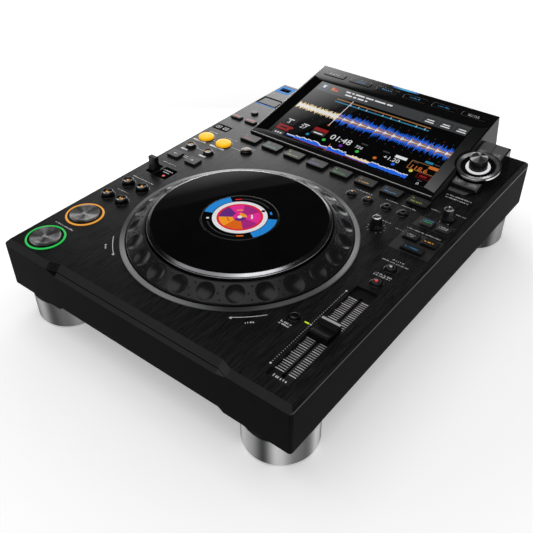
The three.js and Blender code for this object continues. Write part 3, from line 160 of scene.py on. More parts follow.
background["Color"].default_value = (1, 1, 1, 1)


def lamp(name, place, size, power):
    light = bpy.data.lights.new(name, "AREA")
    light.shape = "RECTANGLE"
    light.size, light.size_y = size
    light.energy = power
    linked(name, light).matrix_world = place
    return light


lamp("overhead_lamp", Matrix.Translation((-0.35, -0.3, 1.9)), (2.2, 1.6), 11)
edge_start, edge_end = Vector((-407, 152, 394)) * mm, Vector((-208, 294, 329)) * mm
along = (edge_start - edge_end).normalized()
back = Vector((-0.58, 0.81, 0)).normalized()
above = back.cross(along)
softbox_size = (0.66, 0.3)
middle = edge_start + 0.7 * (edge_end - edge_start) - above * softbox_size[1] / 2
softbox_place = Matrix.Translation(middle) @ Matrix((along, above, back)).transposed().to_4x4()
rear_softbox = lamp("rear_softbox", softbox_place, softbox_size, 3.1)
rear_softbox.use_nodes = True
glow = rear_softbox.node_tree
spread = split(glow, of_surface(glow, "Parametric"))
falling = between(glow, spread["Y"], 0.52, 0.94, 1, 0.02)
widening = between(glow, spread["X"], 0.33, 0.78, 1, 0.2)
put(glow, glow.nodes["Emission"].inputs["Strength"], product(glow, falling, widening))


def mesh_of(name, shape):
    data = bpy.data.meshes.new(name)
    shape.to_mesh(data)
    shape.free()
    return data


floor_shape = bmesh.new()
bmesh.ops.create_grid(floor_shape, x_segments=1, y_segments=1, size=6)
floor = linked("floor", mesh_of("floor", floor_shape))
paper, tree, shader = finish("pale_paper", Base_Color=(0.86, 0.86, 0.86, 1), Roughness=0.9,
                             Specular_IOR_Level=0.1, Emission_Color=(1, 1, 1, 1))
rays = node(tree, "ShaderNodeLightPath").outputs
paper_seen = sums(tree, "MAXIMUM", rays["Is Camera Ray"],
                  sums(tree, "MAXIMUM", rays["Is Glossy Ray"], rays["Is Transmission Ray"]))
paper_glow = between(tree, vectors(tree, "LENGTH", of_surface(tree, "Position")), 0.3, 0.9, 0.34, 0.62)
put(tree, shader["Emission Strength"], product(tree, paper_seen, paper_glow))
floor.data.materials.append(paper)


# Case pan, the lower half of the body: pressed sheet with a fine textured black coat. It carries the boards
# inside and the feet below. Its front edge has a wide chamfer and a raised underside. The chamfer is painted
# lighter than the coat, and its right turn lighter still, as painted light.

def effect(name, outputs, **inputs):
    """Start a node group; its inputs are numbers and vectors, and its outputs are numbers."""
    group = bpy.data.node_groups.new(name, "ShaderNodeTree")
    for label, value in inputs.items():
        kind = "NodeSocketVector" if isinstance(value, tuple) else "NodeSocketFloat"
        group.interface.new_socket(label, in_out="INPUT", socket_type=kind).default_value = value
    for label in outputs:
        group.interface.new_socket(label, in_out="OUTPUT", socket_type="NodeSocketFloat")
    return group, group.nodes.new("NodeGroupInput").outputs, group.nodes.new("NodeGroupOutput").inputs


def on_object(tree):
    return node(tree, "ShaderNodeTexCoord").outputs["Object"]


def noise(tree, where, scale, detail=2, roughness=0.5):
    made = node(tree, "ShaderNodeTexNoise")
    for label, value in {"Vector": where, "Scale": scale, "Detail": detail, "Roughness": roughness}.items():
        put(tree, made.inputs[label], value)
    return made.outputs["Fac"]


# Grain: an even speckle, stretched by its three factors, as a value and as a height.
grain, grain_in, grain_out = effect("grain", ("Value", "Height"), Stretch=(1, 1, 1), Low=0.4, High=0.6)
speckle = noise(grain, vectors(grain, "MULTIPLY", on_object(grain), grain_in["Stretch"]), 1, 3, 0.6)
put(grain, grain_out["Value"], between(grain, speckle, 0.3, 0.7, grain_in["Low"], grain_in["High"]))
put(grain, grain_out["Height"], speckle)

# Worn edges: one where an edge is sharp enough to be rubbed, broken up by a coarse noise.
worn, worn_in, worn_out = effect("worn_edges", ("Mask",), Reach=0.0004, Amount=0.5)
rounded = node(worn, "ShaderNodeBevel", samples=4)
put(worn, rounded.inputs["Radius"], worn_in["Reach"])
facing = vectors(worn, "DOT_PRODUCT", rounded.outputs[0], of_surface(worn, "Normal"))
rubbed = between(worn, facing, 0.995, 0.86, 0, worn_in["Amount"])
patchy = between(worn, noise(worn, on_object(worn), 160), 0.35, 0.65, 0.35, 1)
put(worn, worn_out["Mask"], product(worn, rubbed, patchy))

# Dust: a thin scatter of pale specks on what faces up.
dust, dust_in, dust_out = effect("dust", ("Mask",), Amount=0.3)
specks = between(dust, noise(dust, on_object(dust), 2600, 1), 0.72, 0.8, 0, 1)
drifts = between(dust, noise(dust, on_object(dust), 18), 0.4, 0.7, 0, 1)
settled = between(dust, split(dust, of_surface(dust, "Normal"))["Z"], 0.6, 0.95, 0, dust_in["Amount"])
put(dust, dust_out["Mask"], product(dust, product(dust, specks, drifts), settled))

# Painted highlights: pale and dark fans painted round a turned piece, in place of the light its fine rings
# throw about.
lathe_highlight_group, lathe_highlight_in, lathe_highlight_out = effect("painted_lathe_highlights", ("Value",), Direction=(1, 0, 0), Turns=2, Phase=0)
way_out = split(lathe_highlight_group, lathe_highlight_in["Direction"])
angle = sums(lathe_highlight_group, "ARCTAN2", way_out["Y"], way_out["X"])
broad = sums(lathe_highlight_group, "SINE", sums(lathe_highlight_group, "ADD", product(lathe_highlight_group, angle, lathe_highlight_in["Turns"]), lathe_highlight_in["Phase"]))
narrow = sums(lathe_highlight_group, "SINE", product(lathe_highlight_group, angle, sums(lathe_highlight_group, "ADD", lathe_highlight_in["Turns"], 5)))
both = sums(lathe_highlight_group, "ADD", broad, product(lathe_highlight_group, narrow, 0.35))
put(lathe_highlight_group, lathe_highlight_out["Value"], between(lathe_highlight_group, both, -1.15, 1.15, 0, 1))


def placed(tree, group, **values):
    made = node(tree, "ShaderNodeGroup", node_tree=group)
    for label, value in values.items():
        put(tree, made.inputs[label], value)
    return made.outputs


def tinted(tree, mask, base, over):
    """Base where the mask is 0 and over where it is 1."""
    made = node(tree, "ShaderNodeMix", data_type="RGBA")
    for socket, value in zip((made.inputs[0], made.inputs[6], made.inputs[7]), (mask, base, over)):
        put(tree, socket, (*value, 1) if isinstance(value, tuple) else value)
    return made.outputs[2]


def rubbed_edges(tree, base, edge, amount=0.5, reach=0.0004):
    return tinted(tree, placed(tree, worn, Reach=reach, Amount=amount)["Mask"], base, edge)


def dusted(tree, base, amount=0.25, tone=0.2):
    return tinted(tree, placed(tree, dust, Amount=amount)["Mask"], base, (tone, tone, tone))


def bumped(tree, height, shader, depth):
    made = node(tree, "ShaderNodeBump")
    for label, value in {"Strength": 1, "Distance": depth, "Height": height}.items():
        put(tree, made.inputs[label], value)
    tree.links.new(made.outputs[0], shader["Normal"])


def speckled(name, size, low, high, depth=0, **sockets):
    """A finish whose roughness varies from low to high in a grain, which may stand up by a depth."""
    made, tree, shader = finish(name, **sockets)
    stretch = size if isinstance(size, tuple) else (size, size, size)
    grains = placed(tree, grain, Stretch=stretch, Low=low, High=high)
    put(tree, shader["Roughness"], grains["Value"])
    if depth:
        bumped(tree, grains["Height"], shader, depth)
    return made, tree, shader, grains


def moulded(name, colour, edge, low, high, size, depth, specular=0.5, wear=0.5, dusty=0.25):
    """Black plastic or painted metal: speckled roughness, a fine grain, rubbed edges and a little dust."""
    made, tree, shader, grains = speckled(name, size, low, high, depth, Specular_IOR_Level=specular)
    clouds = between(tree, noise(tree, on_object(tree), 14), 0.3, 0.7, 0, 0.35)
    base = tinted(tree, clouds, colour, tuple(1.5 * part for part in colour))
    put(tree, shader["Base Color"], dusted(tree, rubbed_edges(tree, base, edge, wear), dusty))
    return made


case_coat = moulded("case_coat", (0.0032, 0.0032, 0.0034), (0.02, 0.02, 0.021), 0.48, 0.6, 2600, 0.00003,
                    0.02)
# Painted light: the front chamfer's coat is lighter than the plain coat, and its right turn lighter still.
chamfer_painted_light = moulded("chamfer_painted_light", (0.021, 0.021, 0.0215), (0.03, 0.03, 0.03), 0.4, 0.5, 2600, 0.00002,
                       0.2)
turn_painted_highlight = moulded("turn_painted_highlight", (0.028, 0.028, 0.0285), (0.04, 0.04, 0.04), 0.4, 0.5, 2600, 0.00002,
                      0.25)


def finished(shape, name, body, slot, *materials, solid=None, sharp=32, faces_out=True):
    """One named piece on its body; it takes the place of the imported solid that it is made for."""
    if faces_out:
        bmesh.ops.recalc_face_normals(shape, faces=shape.faces)
    piece = linked(name, mesh_of(name, shape))
    for material in materials:
        piece.data.materials.append(material)
    piece.data.shade_smooth()
    piece.data.set_sharp_from_angle(angle=math.radians(sharp))
    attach(piece, body)
    if solid:
        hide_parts(solid)
    piece.modifiers.new("flat_faces_stay_flat", "WEIGHTED_NORMAL").keep_sharp = True


def solid_of(name):
    """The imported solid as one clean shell: its loose triangles are merged and its flat faces joined."""
    shape = bmesh.new()
    shape.from_mesh(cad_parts[name].data)
    bmesh.ops.remove_doubles(shape, verts=shape.verts, dist=0.00002)
    bmesh.ops.dissolve_limit(shape, angle_limit=math.radians(0.6), verts=shape.verts, edges=shape.edges)
    return shape


def eased(shape, width, segments=2, angle=35, chosen=None, clamp=True):
    """Bevel every edge that turns more than the angle, by a width in millimetres."""
    edges = [edge for edge in shape.edges if len(edge.link_faces) == 2
             and edge.calc_face_angle(0) > math.radians(angle) and (chosen is None or chosen(edge))]
    bmesh.ops.bevel(shape, geom=edges, offset=width * mm, offset_type="OFFSET", affect="EDGES",
                    segments=segments, profile=0.5, material=-1, clamp_overlap=clamp)
    return shape


def dressed(solid, name, body, slot, *materials, width, segments=2, sharp=32):
    """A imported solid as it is, with eased edges and a finish."""
    finished(eased(solid_of(solid), width, segments), name, body, slot, *materials, solid=solid, sharp=sharp)


def shaded(shape, chooser):
    """Give each face the material that the chooser picks from the face's middle and normal."""
    shape.normal_update()
    for face in shape.faces:
        face.material_index = chooser(face.calc_center_median() / mm, face.normal)
    return shape


front_strip_end, seam_height = -200, 80.6


def front_band(middle, normal):
    """The long chamfer at the front is smoother and painted lighter, as painted light; its turn at the right,
    which faces left, is painted lighter still as a painted highlight.
    """
    if middle.y > front_strip_end or normal.y > -0.2 or normal.z < 0.2 or normal.x > 0.1:
        return 0
    return 2 if normal.x < -0.1 else 1


def halfway(edge):
    return (edge.verts[0].co + edge.verts[1].co) / 2


def off_seam(edge):
    """Not where the deck meets the pan on the front chamfer, which runs on smoothly."""
    middle = halfway(edge) / mm
    return middle.y > front_strip_end or abs(middle.z - seam_height) > 0.6


case_pan = shaded(eased(solid_of("base_tray"), 0.45, chosen=off_seam), front_band)
finished(case_pan, "case_pan", "player", "case_black", case_coat, chamfer_painted_light, turn_painted_highlight,
         solid="base_tray")


# Deck panel, the top of the body: aluminium sheet, brushed from front to rear and anodised black. Every key
# hole is punched through it and its edges are cut back. Its front chamfer is painted lighter, and the
# chamfer's right turn lighter still, as painted light.

deck_top = 85.7
anodised, tree, shader, fine_lines = speckled("anodised_brushed", (5200, 110, 5200), 0.24, 0.38,
                                              Specular_IOR_Level=0.2)
long_lines = placed(tree, grain, Stretch=(1250, 34, 1250), Low=-0.5, High=1.15)
lines = sums(tree, "ADD", product(tree, fine_lines["Height"], 0.5), product(tree, long_lines["Height"], 0.5))
bumped(tree, lines, shader, 0.00006)
brushed = tinted(tree, long_lines["Value"], (0.0018, 0.0018, 0.002), (0.018, 0.018, 0.0186))
put(tree, shader["Base Color"], dusted(tree, rubbed_edges(tree, brushed, (0.05, 0.05, 0.052), 0.6), 0.3))
deck = shaded(eased(solid_of("deck_panel"), 0.25, chosen=off_seam), front_band)
finished(deck, "deck", "player", "deck_black", anodised, chamfer_painted_light, turn_painted_highlight, solid="deck_panel")


# Rear panel: folded sheet with the same coat as the pan, punched for the jacks.

dressed("rear_panel", "rear_plate", "player", "case_black", case_coat, width=0.2, segments=1)


# Feet: four turned aluminium rings with a fine bright skin and a black rubber sole, held by one screw each
# from below. The skin carries upright bands of painted highlight and painted shade. A black collar lifts the
# case off them.

def softened(profile, radius, steps=3):
    """Round each inner corner of a profile with a short curve."""
    points = [Vector(point) for point in profile]
    made = [points[0]]
    for before, corner, after in zip(points, points[1:], points[2:]):
        toward, onward = before - corner, after - corner
        reach = min(radius, toward.length * 0.45, onward.length * 0.45)
        first = corner + toward.normalized() * reach
        last = corner + onward.normalized() * reach
        for step in range(steps + 1):
            part = step / steps
            made.append((1 - part) ** 2 * first + 2 * part * (1 - part) * corner + part ** 2 * last)
    made.append(points[-1])
    return [tuple(point) for point in made]


def turned(profile, sides, centre=(0, 0, 0), shape=None, soft=0, steps=3):
    """Spin a profile of (radius, height) once round the upright through the centre, in millimetres."""
    shape = shape or bmesh.new()
    centre = Vector(centre) * mm
    outline = softened(profile, soft, steps) if soft else profile
    points = [shape.verts.new(centre + Vector((radius, 0, height)) * mm) for radius, height in outline]
    edges = [shape.edges.new(pair) for pair in zip(points, points[1:])]
    bmesh.ops.spin(shape, geom=points + edges, axis=(0, 0, 1), cent=centre,
                   angle=2 * math.pi, steps=sides, use_merge=True)
    bmesh.ops.remove_doubles(shape, verts=shape.verts, dist=0.000005)
    return shape


def off_axis(place, centre=(0, 0, 0)):
    """Distance from the upright through the centre, in millimetres."""
    return (place.xy - Vector(centre).xy).length


def turned_skin(name, phase, painted_shine):
    """Bright turned skin with upright bands of painted light and shade, set as if the ring stood in the
    studio.
    """
    made, tree, shader, rings = speckled(name, (90, 90, 5200), 0.36, 0.46, 0.00002, Metallic=1,
                                         Anisotropic=0.92)
    upright = node(tree, "ShaderNodeCombineXYZ")
    upright.inputs["Z"].default_value = 1
    put(tree, shader["Tangent"], upright.outputs[0])
    painted_fan_mask = placed(tree, lathe_highlight_group, Direction=of_surface(tree, "Normal"), Turns=6, Phase=phase)
    metal = tinted(tree, painted_fan_mask["Value"], (0.03, 0.0306, 0.032), (painted_shine, painted_shine, 1.01 * painted_shine))
    metal = tinted(tree, product(tree, rings["Height"], 0.25), metal, (0.3, 0.302, 0.305))
    put(tree, shader["Base Color"], dusted(tree, metal, 0.3, 0.3))
    return made


rubber = moulded("rubber", (0.011, 0.011, 0.011), (0.03, 0.03, 0.03), 0.62, 0.78, 1800, 0.00005, 0.3)
# Each foot's phase turns its painted bands, and its painted shine sets how bright the painted highlight is.
for corner, phase, painted_shine in (("front_left", 4.85, 0.5), ("front_right", 0.82, 0.9), ("rear_left", 0.88, 0.6),
                             ("rear_right", 2.73, 0.42)):
    low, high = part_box("foot_" + corner)
    centre = ((low.x + high.x) / 2 / mm, (low.y + high.y) / 2 / mm, 0)
    foot = turned([
        (3, 0.9), (5.4, 0.9), (5.4, 3), (8.6, 3), (8.6, 0), (29.6, 0), (29.6, 1), (30.8, 1), (30.8, 0.4),
        (33, 3.4), (33, 30.4), (32.4, 31), (31.6, 31.2), (31.2, 33.6), (27.2, 33.6), (27.2, 36.3),
        (3, 36.3)], 128, centre, soft=0.6)
    for ridge in (13, 18, 23):
        turned([(ridge - 0.8, 0.05), (ridge - 0.8, 0), (ridge + 0.8, 0), (ridge + 0.8, 0.05)], 64, centre,
               foot, 0.2)
    shaded(foot, lambda middle, normal: 0 if off_axis(middle, centre) > 30.7 and middle.z < 30.9 else 1)
    finished(foot, "foot_ring_" + corner, "player", "foot_aluminium",
             turned_skin("foot_skin_" + corner, phase, painted_shine), rubber, solid="foot_" + corner)


# Jog wheel surround: a flat ring of turned, blasted and clear-anodised aluminium, pressed into the deck's
# hole. Pale and dark fans are painted round it, a painted highlight for the light its turning marks throw.

jog = (0, -84.39, deck_top)


def painted_fans_round(tree, centre, turns, phase):
    """Painted light and dark fans on a turned piece, round a centre in millimetres."""
    way = vectors(tree, "SUBTRACT", on_object(tree), tuple(Vector(centre) * mm))
    return placed(tree, lathe_highlight_group, Direction=way, Turns=turns, Phase=phase)["Value"]


blasted, tree, shader, frost = speckled("blasted_silver", 2400, 0.4, 0.52, 0.00003, Metallic=0.6)
# Painted highlight: pale and dark fans in the colour round the wheel's middle.
silver_with_painted_fans = tinted(tree, painted_fans_round(tree, jog, 3, 0.7), (0.03, 0.0303, 0.0306), (0.44, 0.444, 0.45))
silver_with_painted_fans = tinted(tree, product(tree, frost["Height"], 0.2), silver_with_painted_fans, (0.32, 0.323, 0.327))
put(tree, shader["Base Color"], rubbed_edges(tree, silver_with_painted_fans, (0.5, 0.5, 0.5), 0.6, 0.0005))
surround = turned([
    (106, 0), (106, 1.1), (106.5, 1.5), (110.3, 1.5), (111, 0.75), (111, 0.3), (107.9, 0.3),
    (107.9, -4.5), (106, -4.5), (106, 0)], 240, jog, soft=0.25, steps=2)
finished(surround, "jog_surround", "player", "trim_silver", blasted, solid="jog_trim_ring")


# Jog wheel: moulded in black plastic with 24 finger dimples on its cone and three small pips between
# neighbours. It turns on a fixed post, and its dark lip frames the platter.

wheel_black = moulded("wheel_black", (0.008, 0.008, 0.0084), (0.04, 0.04, 0.041), 0.22, 0.32, 2200, 0.00002,
                      0.38, 0.3)
rim, lip, rise, lip_height = 105, 88.6, 9.5, 12
slope = rise / (rim - lip)
lean = math.atan(slope)
cone_steps = [0.5 + 0.762 * step for step in range(21)]
cone = [(lip + out, lip_height - out * slope) for out in cone_steps]
wheel = turned([
    (12.3, 5.5), (86.6, 5.5), (86.6, 11.7), (86.9, 12), (88.3, 12), *cone, (104.8, 2.45), (105, 2.1),
    (105, -3), (101.5, -3), (101.5, 0.6), (90.6, 6.7), (90.6, 2.5), (18, 2.5), (18, -16), (12.3, -16),
    (12.3, 5.5)], 720, jog)
dimples, dimple_radius, dimple_depth = 24, 8.6, 2.1
dimple_pitch = math.tau / dimples
outward_lean = Vector((math.sin(lean), 0, math.cos(lean)))
ball = (dimple_radius ** 2 + dimple_depth ** 2) / (2 * dimple_depth)
jog_middle = Vector(jog) * mm
for vert in wheel.verts:
    offset = (vert.co - jog_middle) / mm
    radius = offset.xy.length
    if offset.z < 1.5 or radius < 88 or radius > 105.1:
        continue
    bearing = math.atan2(offset.y, offset.x)
    nearest = (math.floor(bearing / dimple_pitch) + 0.5) * dimple_pitch
    along = (radius * math.cos(bearing - nearest) - (rim + lip) / 2) / math.cos(lean)
    away = math.hypot(along, radius * math.sin(bearing - nearest))
    if away < dimple_radius:
        depth = math.sqrt(ball ** 2 - away ** 2) - (ball - dimple_depth)
        vert.co -= Matrix.Rotation(nearest, 3, "Z") @ outward_lean * depth * mm
for index in range(dimples):
    for pip_radius, swing in ((91.6, 1.1), (96.8, -1.1), (101.9, 0.2)):
        out = Matrix.Translation((pip_radius * mm, 0, (lip_height - (pip_radius - lip) * slope) * mm))
        pip = (Matrix.Translation(jog_middle) @ turned_by(360 / dimples * index + swing) @ out
               @ Matrix.Rotation(lean, 4, "Y") @ Matrix.Diagonal((1, 1, 0.55, 1)))
        bmesh.ops.create_uvsphere(wheel, u_segments=10, v_segments=6, radius=1.05 * mm, matrix=pip)
finished(wheel, "jog_rim", "jog", "wheel_black", wheel_black, solid="jog_wheel", sharp=40)


# Platter: a disc of black glass-like acrylic, bonded into a polished metal hoop, that feels the hand.

chrome, tree, shader, polish = speckled("polished_hoop", (40, 40, 1600), 0.16, 0.26, Metallic=1)
# Painted highlight: bright fans painted on the hoop's metal colour.
painted_hoop_highlight = sums(tree, "POWER", sums(tree, "MAXIMUM", painted_fans_round(tree, jog, 2, 2.97), 0), 3)
hoop_with_painted_highlight = tinted(tree, painted_hoop_highlight, (0.015, 0.015, 0.016), (0.8, 0.8, 0.83))
put(tree, shader["Base Color"], tinted(tree, product(tree, polish["Height"], 0.15), hoop_with_painted_highlight, (0.6, 0.6, 0.63)))
acrylic, tree, shader, _ = speckled("black_acrylic", 420, 0.02, 0.06, Specular_IOR_Level=0.55)
cloudy = placed(tree, grain, Stretch=(30, 30, 30), Low=0, High=1)["Value"]
put(tree, shader["Base Color"],
    dusted(tree, tinted(tree, cloudy, (0.0008, 0.0008, 0.0009), (0.0018, 0.0018, 0.002))))
platter = turned([
    (36.3, 13.9), (78, 13.9), (78, 5.8), (85.4, 5.8), (85.4, 13.6), (85.3, 14.2), (85, 14.7),
    (84.6, 15.1), (82.2, 16.25), (81.7, 16.4), (81.5, 16.33), (81.3, 16.38), (36.6, 16.38), (36.3, 16.1),
    (36.3, 13.9)], 256, jog)
shaded(platter, lambda middle, normal: 0 if off_axis(middle, jog) > 81.55 else 1)
finished(platter, "platter", "jog", "gloss_black", chrome, acrylic, solid="jog_platter", sharp=50)


# Jog display: a round panel on top of the fixed post, so it stands still while the wheel turns. Its
# rings show the play position. The picture in the middle is a fan of plain coloured blades.

def lit(name, colour, strength, roughness=0.12, dimmest=0.8):
    """Glowing print under a clear skin, a little uneven as a real backlight is."""
    made, tree, shader = finish(name, Roughness=roughness, Base_Color=(0.002, 0.002, 0.002, 1),
                                Emission_Strength=strength)
    uneven = placed(tree, grain, Stretch=(700, 700, 700), Low=0, High=1)["Value"]
    put(tree, shader["Emission Color"],
        tinted(tree, uneven, tuple(part * dimmest for part in colour), colour))
    return made


def inks_of(panel, colours):
    """A glowing ink for each name, from its colour and then its strength."""
    return [lit(f"{panel}_{name}", tuple(parts[:3]), parts[3]) for name, parts in colours.items()]


def inked(made, index):
    for face in {face for vert in made["verts"] for face in vert.link_faces}:
        face.material_index = index


def round_from(centre, radius, bearing):
    """The place at a radius and a bearing in degrees from a centre."""
    way = math.radians(bearing)
    return centre[0] + radius * math.cos(way), centre[1] + radius * math.sin(way)


def bar(shape, centre, size, height, index=0, turn=0.0):
    """Flat bar: its centre, size and height in millimetres, turned about its middle, in degrees."""
    place = (Matrix.Scale(mm, 4) @ Matrix.Translation((*centre, height)) @ turned_by(turn)
             @ Matrix.Diagonal((*size, 1, 1)))
    inked(bmesh.ops.create_grid(shape, x_segments=1, y_segments=1, size=0.5, matrix=place), index)


def sector(shape, centre, radii, bearings, height, index=0):
    """Flat ring or part of one, from its two radii and its two bearings in degrees."""
    sweep = math.radians(bearings[1] - bearings[0])
    ends = [shape.verts.new(Vector((*round_from(centre, radius, bearings[0]), height)) * mm)
            for radius in radii]
    edge = shape.edges.new(ends)
    before = set(shape.faces)
    bmesh.ops.spin(shape, geom=[*ends, edge], axis=(0, 0, 1), cent=Vector((*centre, height)) * mm,
                   angle=sweep, steps=max(3, round(abs(sweep) * max(radii) / 1.2)), use_merge=False)
    for face in set(shape.faces) - before:
        face.material_index = index


def spot(shape, centre, radius, height, index=0, sides=20, turn=0.0):
    place = Matrix.Translation(Vector((*centre, height)) * mm) @ turned_by(turn)
    inked(bmesh.ops.create_circle(shape, cap_ends=True, segments=sides, radius=radius * mm, matrix=place),
          index)


def printed(shape, name, body, slot, *materials, tilt=None):
    """Flat marks as one piece. They face up, and then the tilt lays them on a sloping face."""
    shape.normal_update()
    bmesh.ops.reverse_faces(shape, faces=[face for face in shape.faces if face.normal.z < 0])
    if tilt is not None:
        bmesh.ops.transform(shape, matrix=tilt, verts=shape.verts)
    finished(shape, name, body, slot, *materials, faces_out=False)


display = turned([(0, 16.4), (35.6, 16.4), (36, 16), (36, 8.3), (0, 8.3)], 160, jog, soft=0.2, steps=2)
finished(display, "jog_display_panel", "player", "screen_glass", acrylic, solid="jog_display")
dial_colours = {
    "white": (0.9, 0.9, 0.92, 0.85), "red": (0.8, 0.02, 0.04, 0.9), "blue": (0.015, 0.24, 0.68, 1),
    "orange": (0.9, 0.16, 0.01, 0.8), "grey": (0.06, 0.06, 0.065, 1), "pink": (0.85, 0.03, 0.32, 0.9),
    "violet": (0.13, 0.02, 0.2, 1), "plum": (0.42, 0.02, 0.22, 0.9), "amber": (1, 0.36, 0.02, 0.9),
    "black": (0.003, 0.003, 0.003, 1)}
whole, ticks = (0, 360), (*range(66, 124, 4), *range(230, 300, 4))
dial_rings = (
    ("white", (21.4, 25.5), whole), ("red", (19.2, 21.4), whole), ("blue", (26.3, 34.4), (145, 202)),
    ("blue", (26.3, 34.4), (-30, 30)), ("red", (28.6, 30), (126, 138)), ("orange", (28.4, 30), (-57, -44)),
    ("white", (28.2, 30.6), (217.5, 222)), ("blue", (28.2, 30), (44, 53)), ("grey", (34.9, 35.15), whole),
    *(("grey", (29, 30.4), (bearing, bearing + 2)) for bearing in ticks))
blades = (("pink", 5, 60), ("plum", 60, 115), ("pink", 115, 160), ("violet", 160, 215), ("amber", 215, 262),
          ("orange", 262, 318), ("plum", 318, 365))
inner_blades = (("amber", 30, 130), ("pink", 130, 250), ("violet", 250, 390))
arcs = (("white", 22, 54), ("amber", 112, 144), ("orange", 220, 252))
dial_height = jog[2] + 16.4 + 0.03
dial_inks = list(dial_colours)
dial = bmesh.new()
for ink, radii, bearings in dial_rings:
    sector(dial, jog[:2], radii, bearings, dial_height, dial_inks.index(ink))
for fan, radii, layer in ((blades, (6.4, 19.2), 0), (inner_blades, (2.2, 6.4), 0), (arcs, (10.5, 12), 0.02)):
    for ink, *bearings in fan:
        sector(dial, jog[:2], radii, bearings, dial_height + layer, dial_inks.index(ink))
spot(dial, jog[:2], 2.2, dial_height + 0.02)
bar(dial, round_from(jog, 23.4, 61), (3.4, 3.4), dial_height + 0.03, dial_inks.index("black"), 16)
printed(dial, "jog_dial", "player", "screen_glass", *inks_of("dial", dial_colours))
post, tree, shader, cuts = speckled("machined_post", (300, 300, 2600), 0.25, 0.42, Metallic=1)
put(tree, shader["Base Color"], tinted(tree, cuts["Height"], (0.34, 0.345, 0.35), (0.46, 0.465, 0.47)))
dressed("jog_post", "turned_post", "player", "post_aluminium", post, width=0.3)


# Screen housing: a moulded wedge behind the deck. Its top band and bezel are polished black, and the sides
# and the rear hood are satin. The right wall and the bezel's right slope are painted lighter as painted
# light, the bezel's left slope is painted dead black as painted shade, and the left rim carries a painted
# glint. It hangs over the jacks at the back.

face_out = (0, -0.18638, 0.98248)
lean_back = math.atan2(-face_out[1], face_out[2])
face_foot = (0, 68, 90)
face = Matrix.Translation(Vector(face_foot) * mm) @ Matrix.Rotation(lean_back, 4, "X")
satin_black = moulded("satin_black", (0.008, 0.008, 0.0083), (0.03, 0.03, 0.031), 0.34, 0.46, 2400, 0.00002,
                      0.3)
piano, tree, shader, polish = speckled("piano_black", 500, 0.05, 0.11, Specular_IOR_Level=0.5)
base = rubbed_edges(tree, (0.003, 0.003, 0.0032), (0.03, 0.03, 0.03), 0.5, 0.0005)
put(tree, shader["Base Color"], dusted(tree, base))
# Dead black with no gloss: the painted shade on the bezel's left slope, and the plain black of the plate
# windows and the card lid's edge.
black_and_painted_shade = moulded("black_and_painted_shade", (0.002, 0.002, 0.0021), (0.01, 0.01, 0.01), 0.5, 0.6, 2400, 0.00002, 0)
# Painted light: a lighter grey for the right wall of the housing.
painted_lit_side = moulded("painted_lit_side", (0.034, 0.034, 0.0345), (0.06, 0.06, 0.06), 0.4, 0.52, 2400, 0.00002, 0.3)
# Painted glint: a pale grey for the left rim and the thin line along the front of the screen.
painted_rim_glint = moulded("painted_rim_glint", (0.55, 0.55, 0.55), (0.6, 0.6, 0.6), 0.3, 0.4, 2400, 0.00001, 0.5, 0, 0)
# Painted light on the bezel's right slope, pale at the front and fading to black towards the rear.
bezel_painted_light, tree, shader, _ = speckled("bezel_painted_light", 2400, 0.4, 0.5, 0.00002, Specular_IOR_Level=0.15)
painted_light_falloff = sums(tree, "POWER", between(tree, split(tree, on_object(tree))["Y"], 0.19, 0.07, 0, 1), 3)
put(tree, shader["Base Color"],
    dusted(tree, tinted(tree, painted_light_falloff, (0.003, 0.003, 0.003), (0.13, 0.13, 0.131))))


def housing_part(middle, normal):
    """Polished on the face, satin elsewhere. The right wall is painted lighter and the left rim gets a
    painted glint; the bezel's right slope carries a painted light and its left slope a painted shade.
    """
    if normal.x > 0.8 and middle.x > 112:
        return 4
    if normal.x < -0.2 and normal.z > 0.2 and middle.x < -111:
        return 5
    if normal.z < 0.6 or middle.y < 70:
        return 0
    if abs(normal.x) < 0.05:
        return 1
    return 2 if normal.x < 0 else 3


housing = shaded(eased(solid_of("display_housing"), 0.4), housing_part)
finished(housing, "screen_housing", "player", "housing_black", satin_black, piano, bezel_painted_light, black_and_painted_shade,
         painted_lit_side, painted_rim_glint, solid="display_housing")


# Screen: dark touch glass bonded into the bezel, lit from behind. It shows a made-up tune as a
# scrolling wave, with plain counters, cue dots and an overview of the whole tune below.

def up(y):
    """Distance up the sloping face, from the place in depth that it covers."""
    return (y - face_foot[1]) / math.cos(lean_back)


dressed("display_glass", "screen_glass", "player", "screen_glass", acrylic, width=0.2, segments=1)
screen_colours = {
    "white": (0.85, 0.86, 0.88, 0.9), "grey": (0.09, 0.095, 0.1, 0.5), "cream": (0.95, 0.74, 0.42, 0.95),
    "blue": (0.015, 0.13, 0.75, 1), "brown": (0.42, 0.2, 0.07, 0.8), "orange": (0.8, 0.2, 0.03, 0.75),
    "red": (0.35, 0.012, 0.015, 0.75), "sky": (0.03, 0.28, 0.5, 0.7), "green": (0.05, 0.6, 0.08, 0.9),
    "violet": (0.2, 0.02, 0.45, 0.9), "yellow": (0.75, 0.7, 0.1, 0.9), "black": (0.002, 0.002, 0.002, 1)}
WHITE, GREY, CREAM, BLUE, BROWN, ORANGE, RED, SKY, GREEN, VIOLET, YELLOW, BLACK = range(12)
glass_top = -1.2


def panel(shape, x, y, index, layer=0.05):
    """Flat patch between two widths and two depths of the sloping face."""
    low, high = up(y[0]), up(y[1])
    bar(shape, ((x[0] + x[1]) / 2, (low + high) / 2), (x[1] - x[0], high - low), glass_top + layer, index)


def outline(shape, x, y, thick, index, layer=0.05):
    panel(shape, x, (y[0], y[0] + thick), index, layer)
    panel(shape, x, (y[1] - thick, y[1]), index, layer)
    panel(shape, (x[0], x[0] + thick), (y[0] + thick, y[1] - thick), index, layer)
    panel(shape, (x[1] - thick, x[1]), (y[0] + thick, y[1] - thick), index, layer)


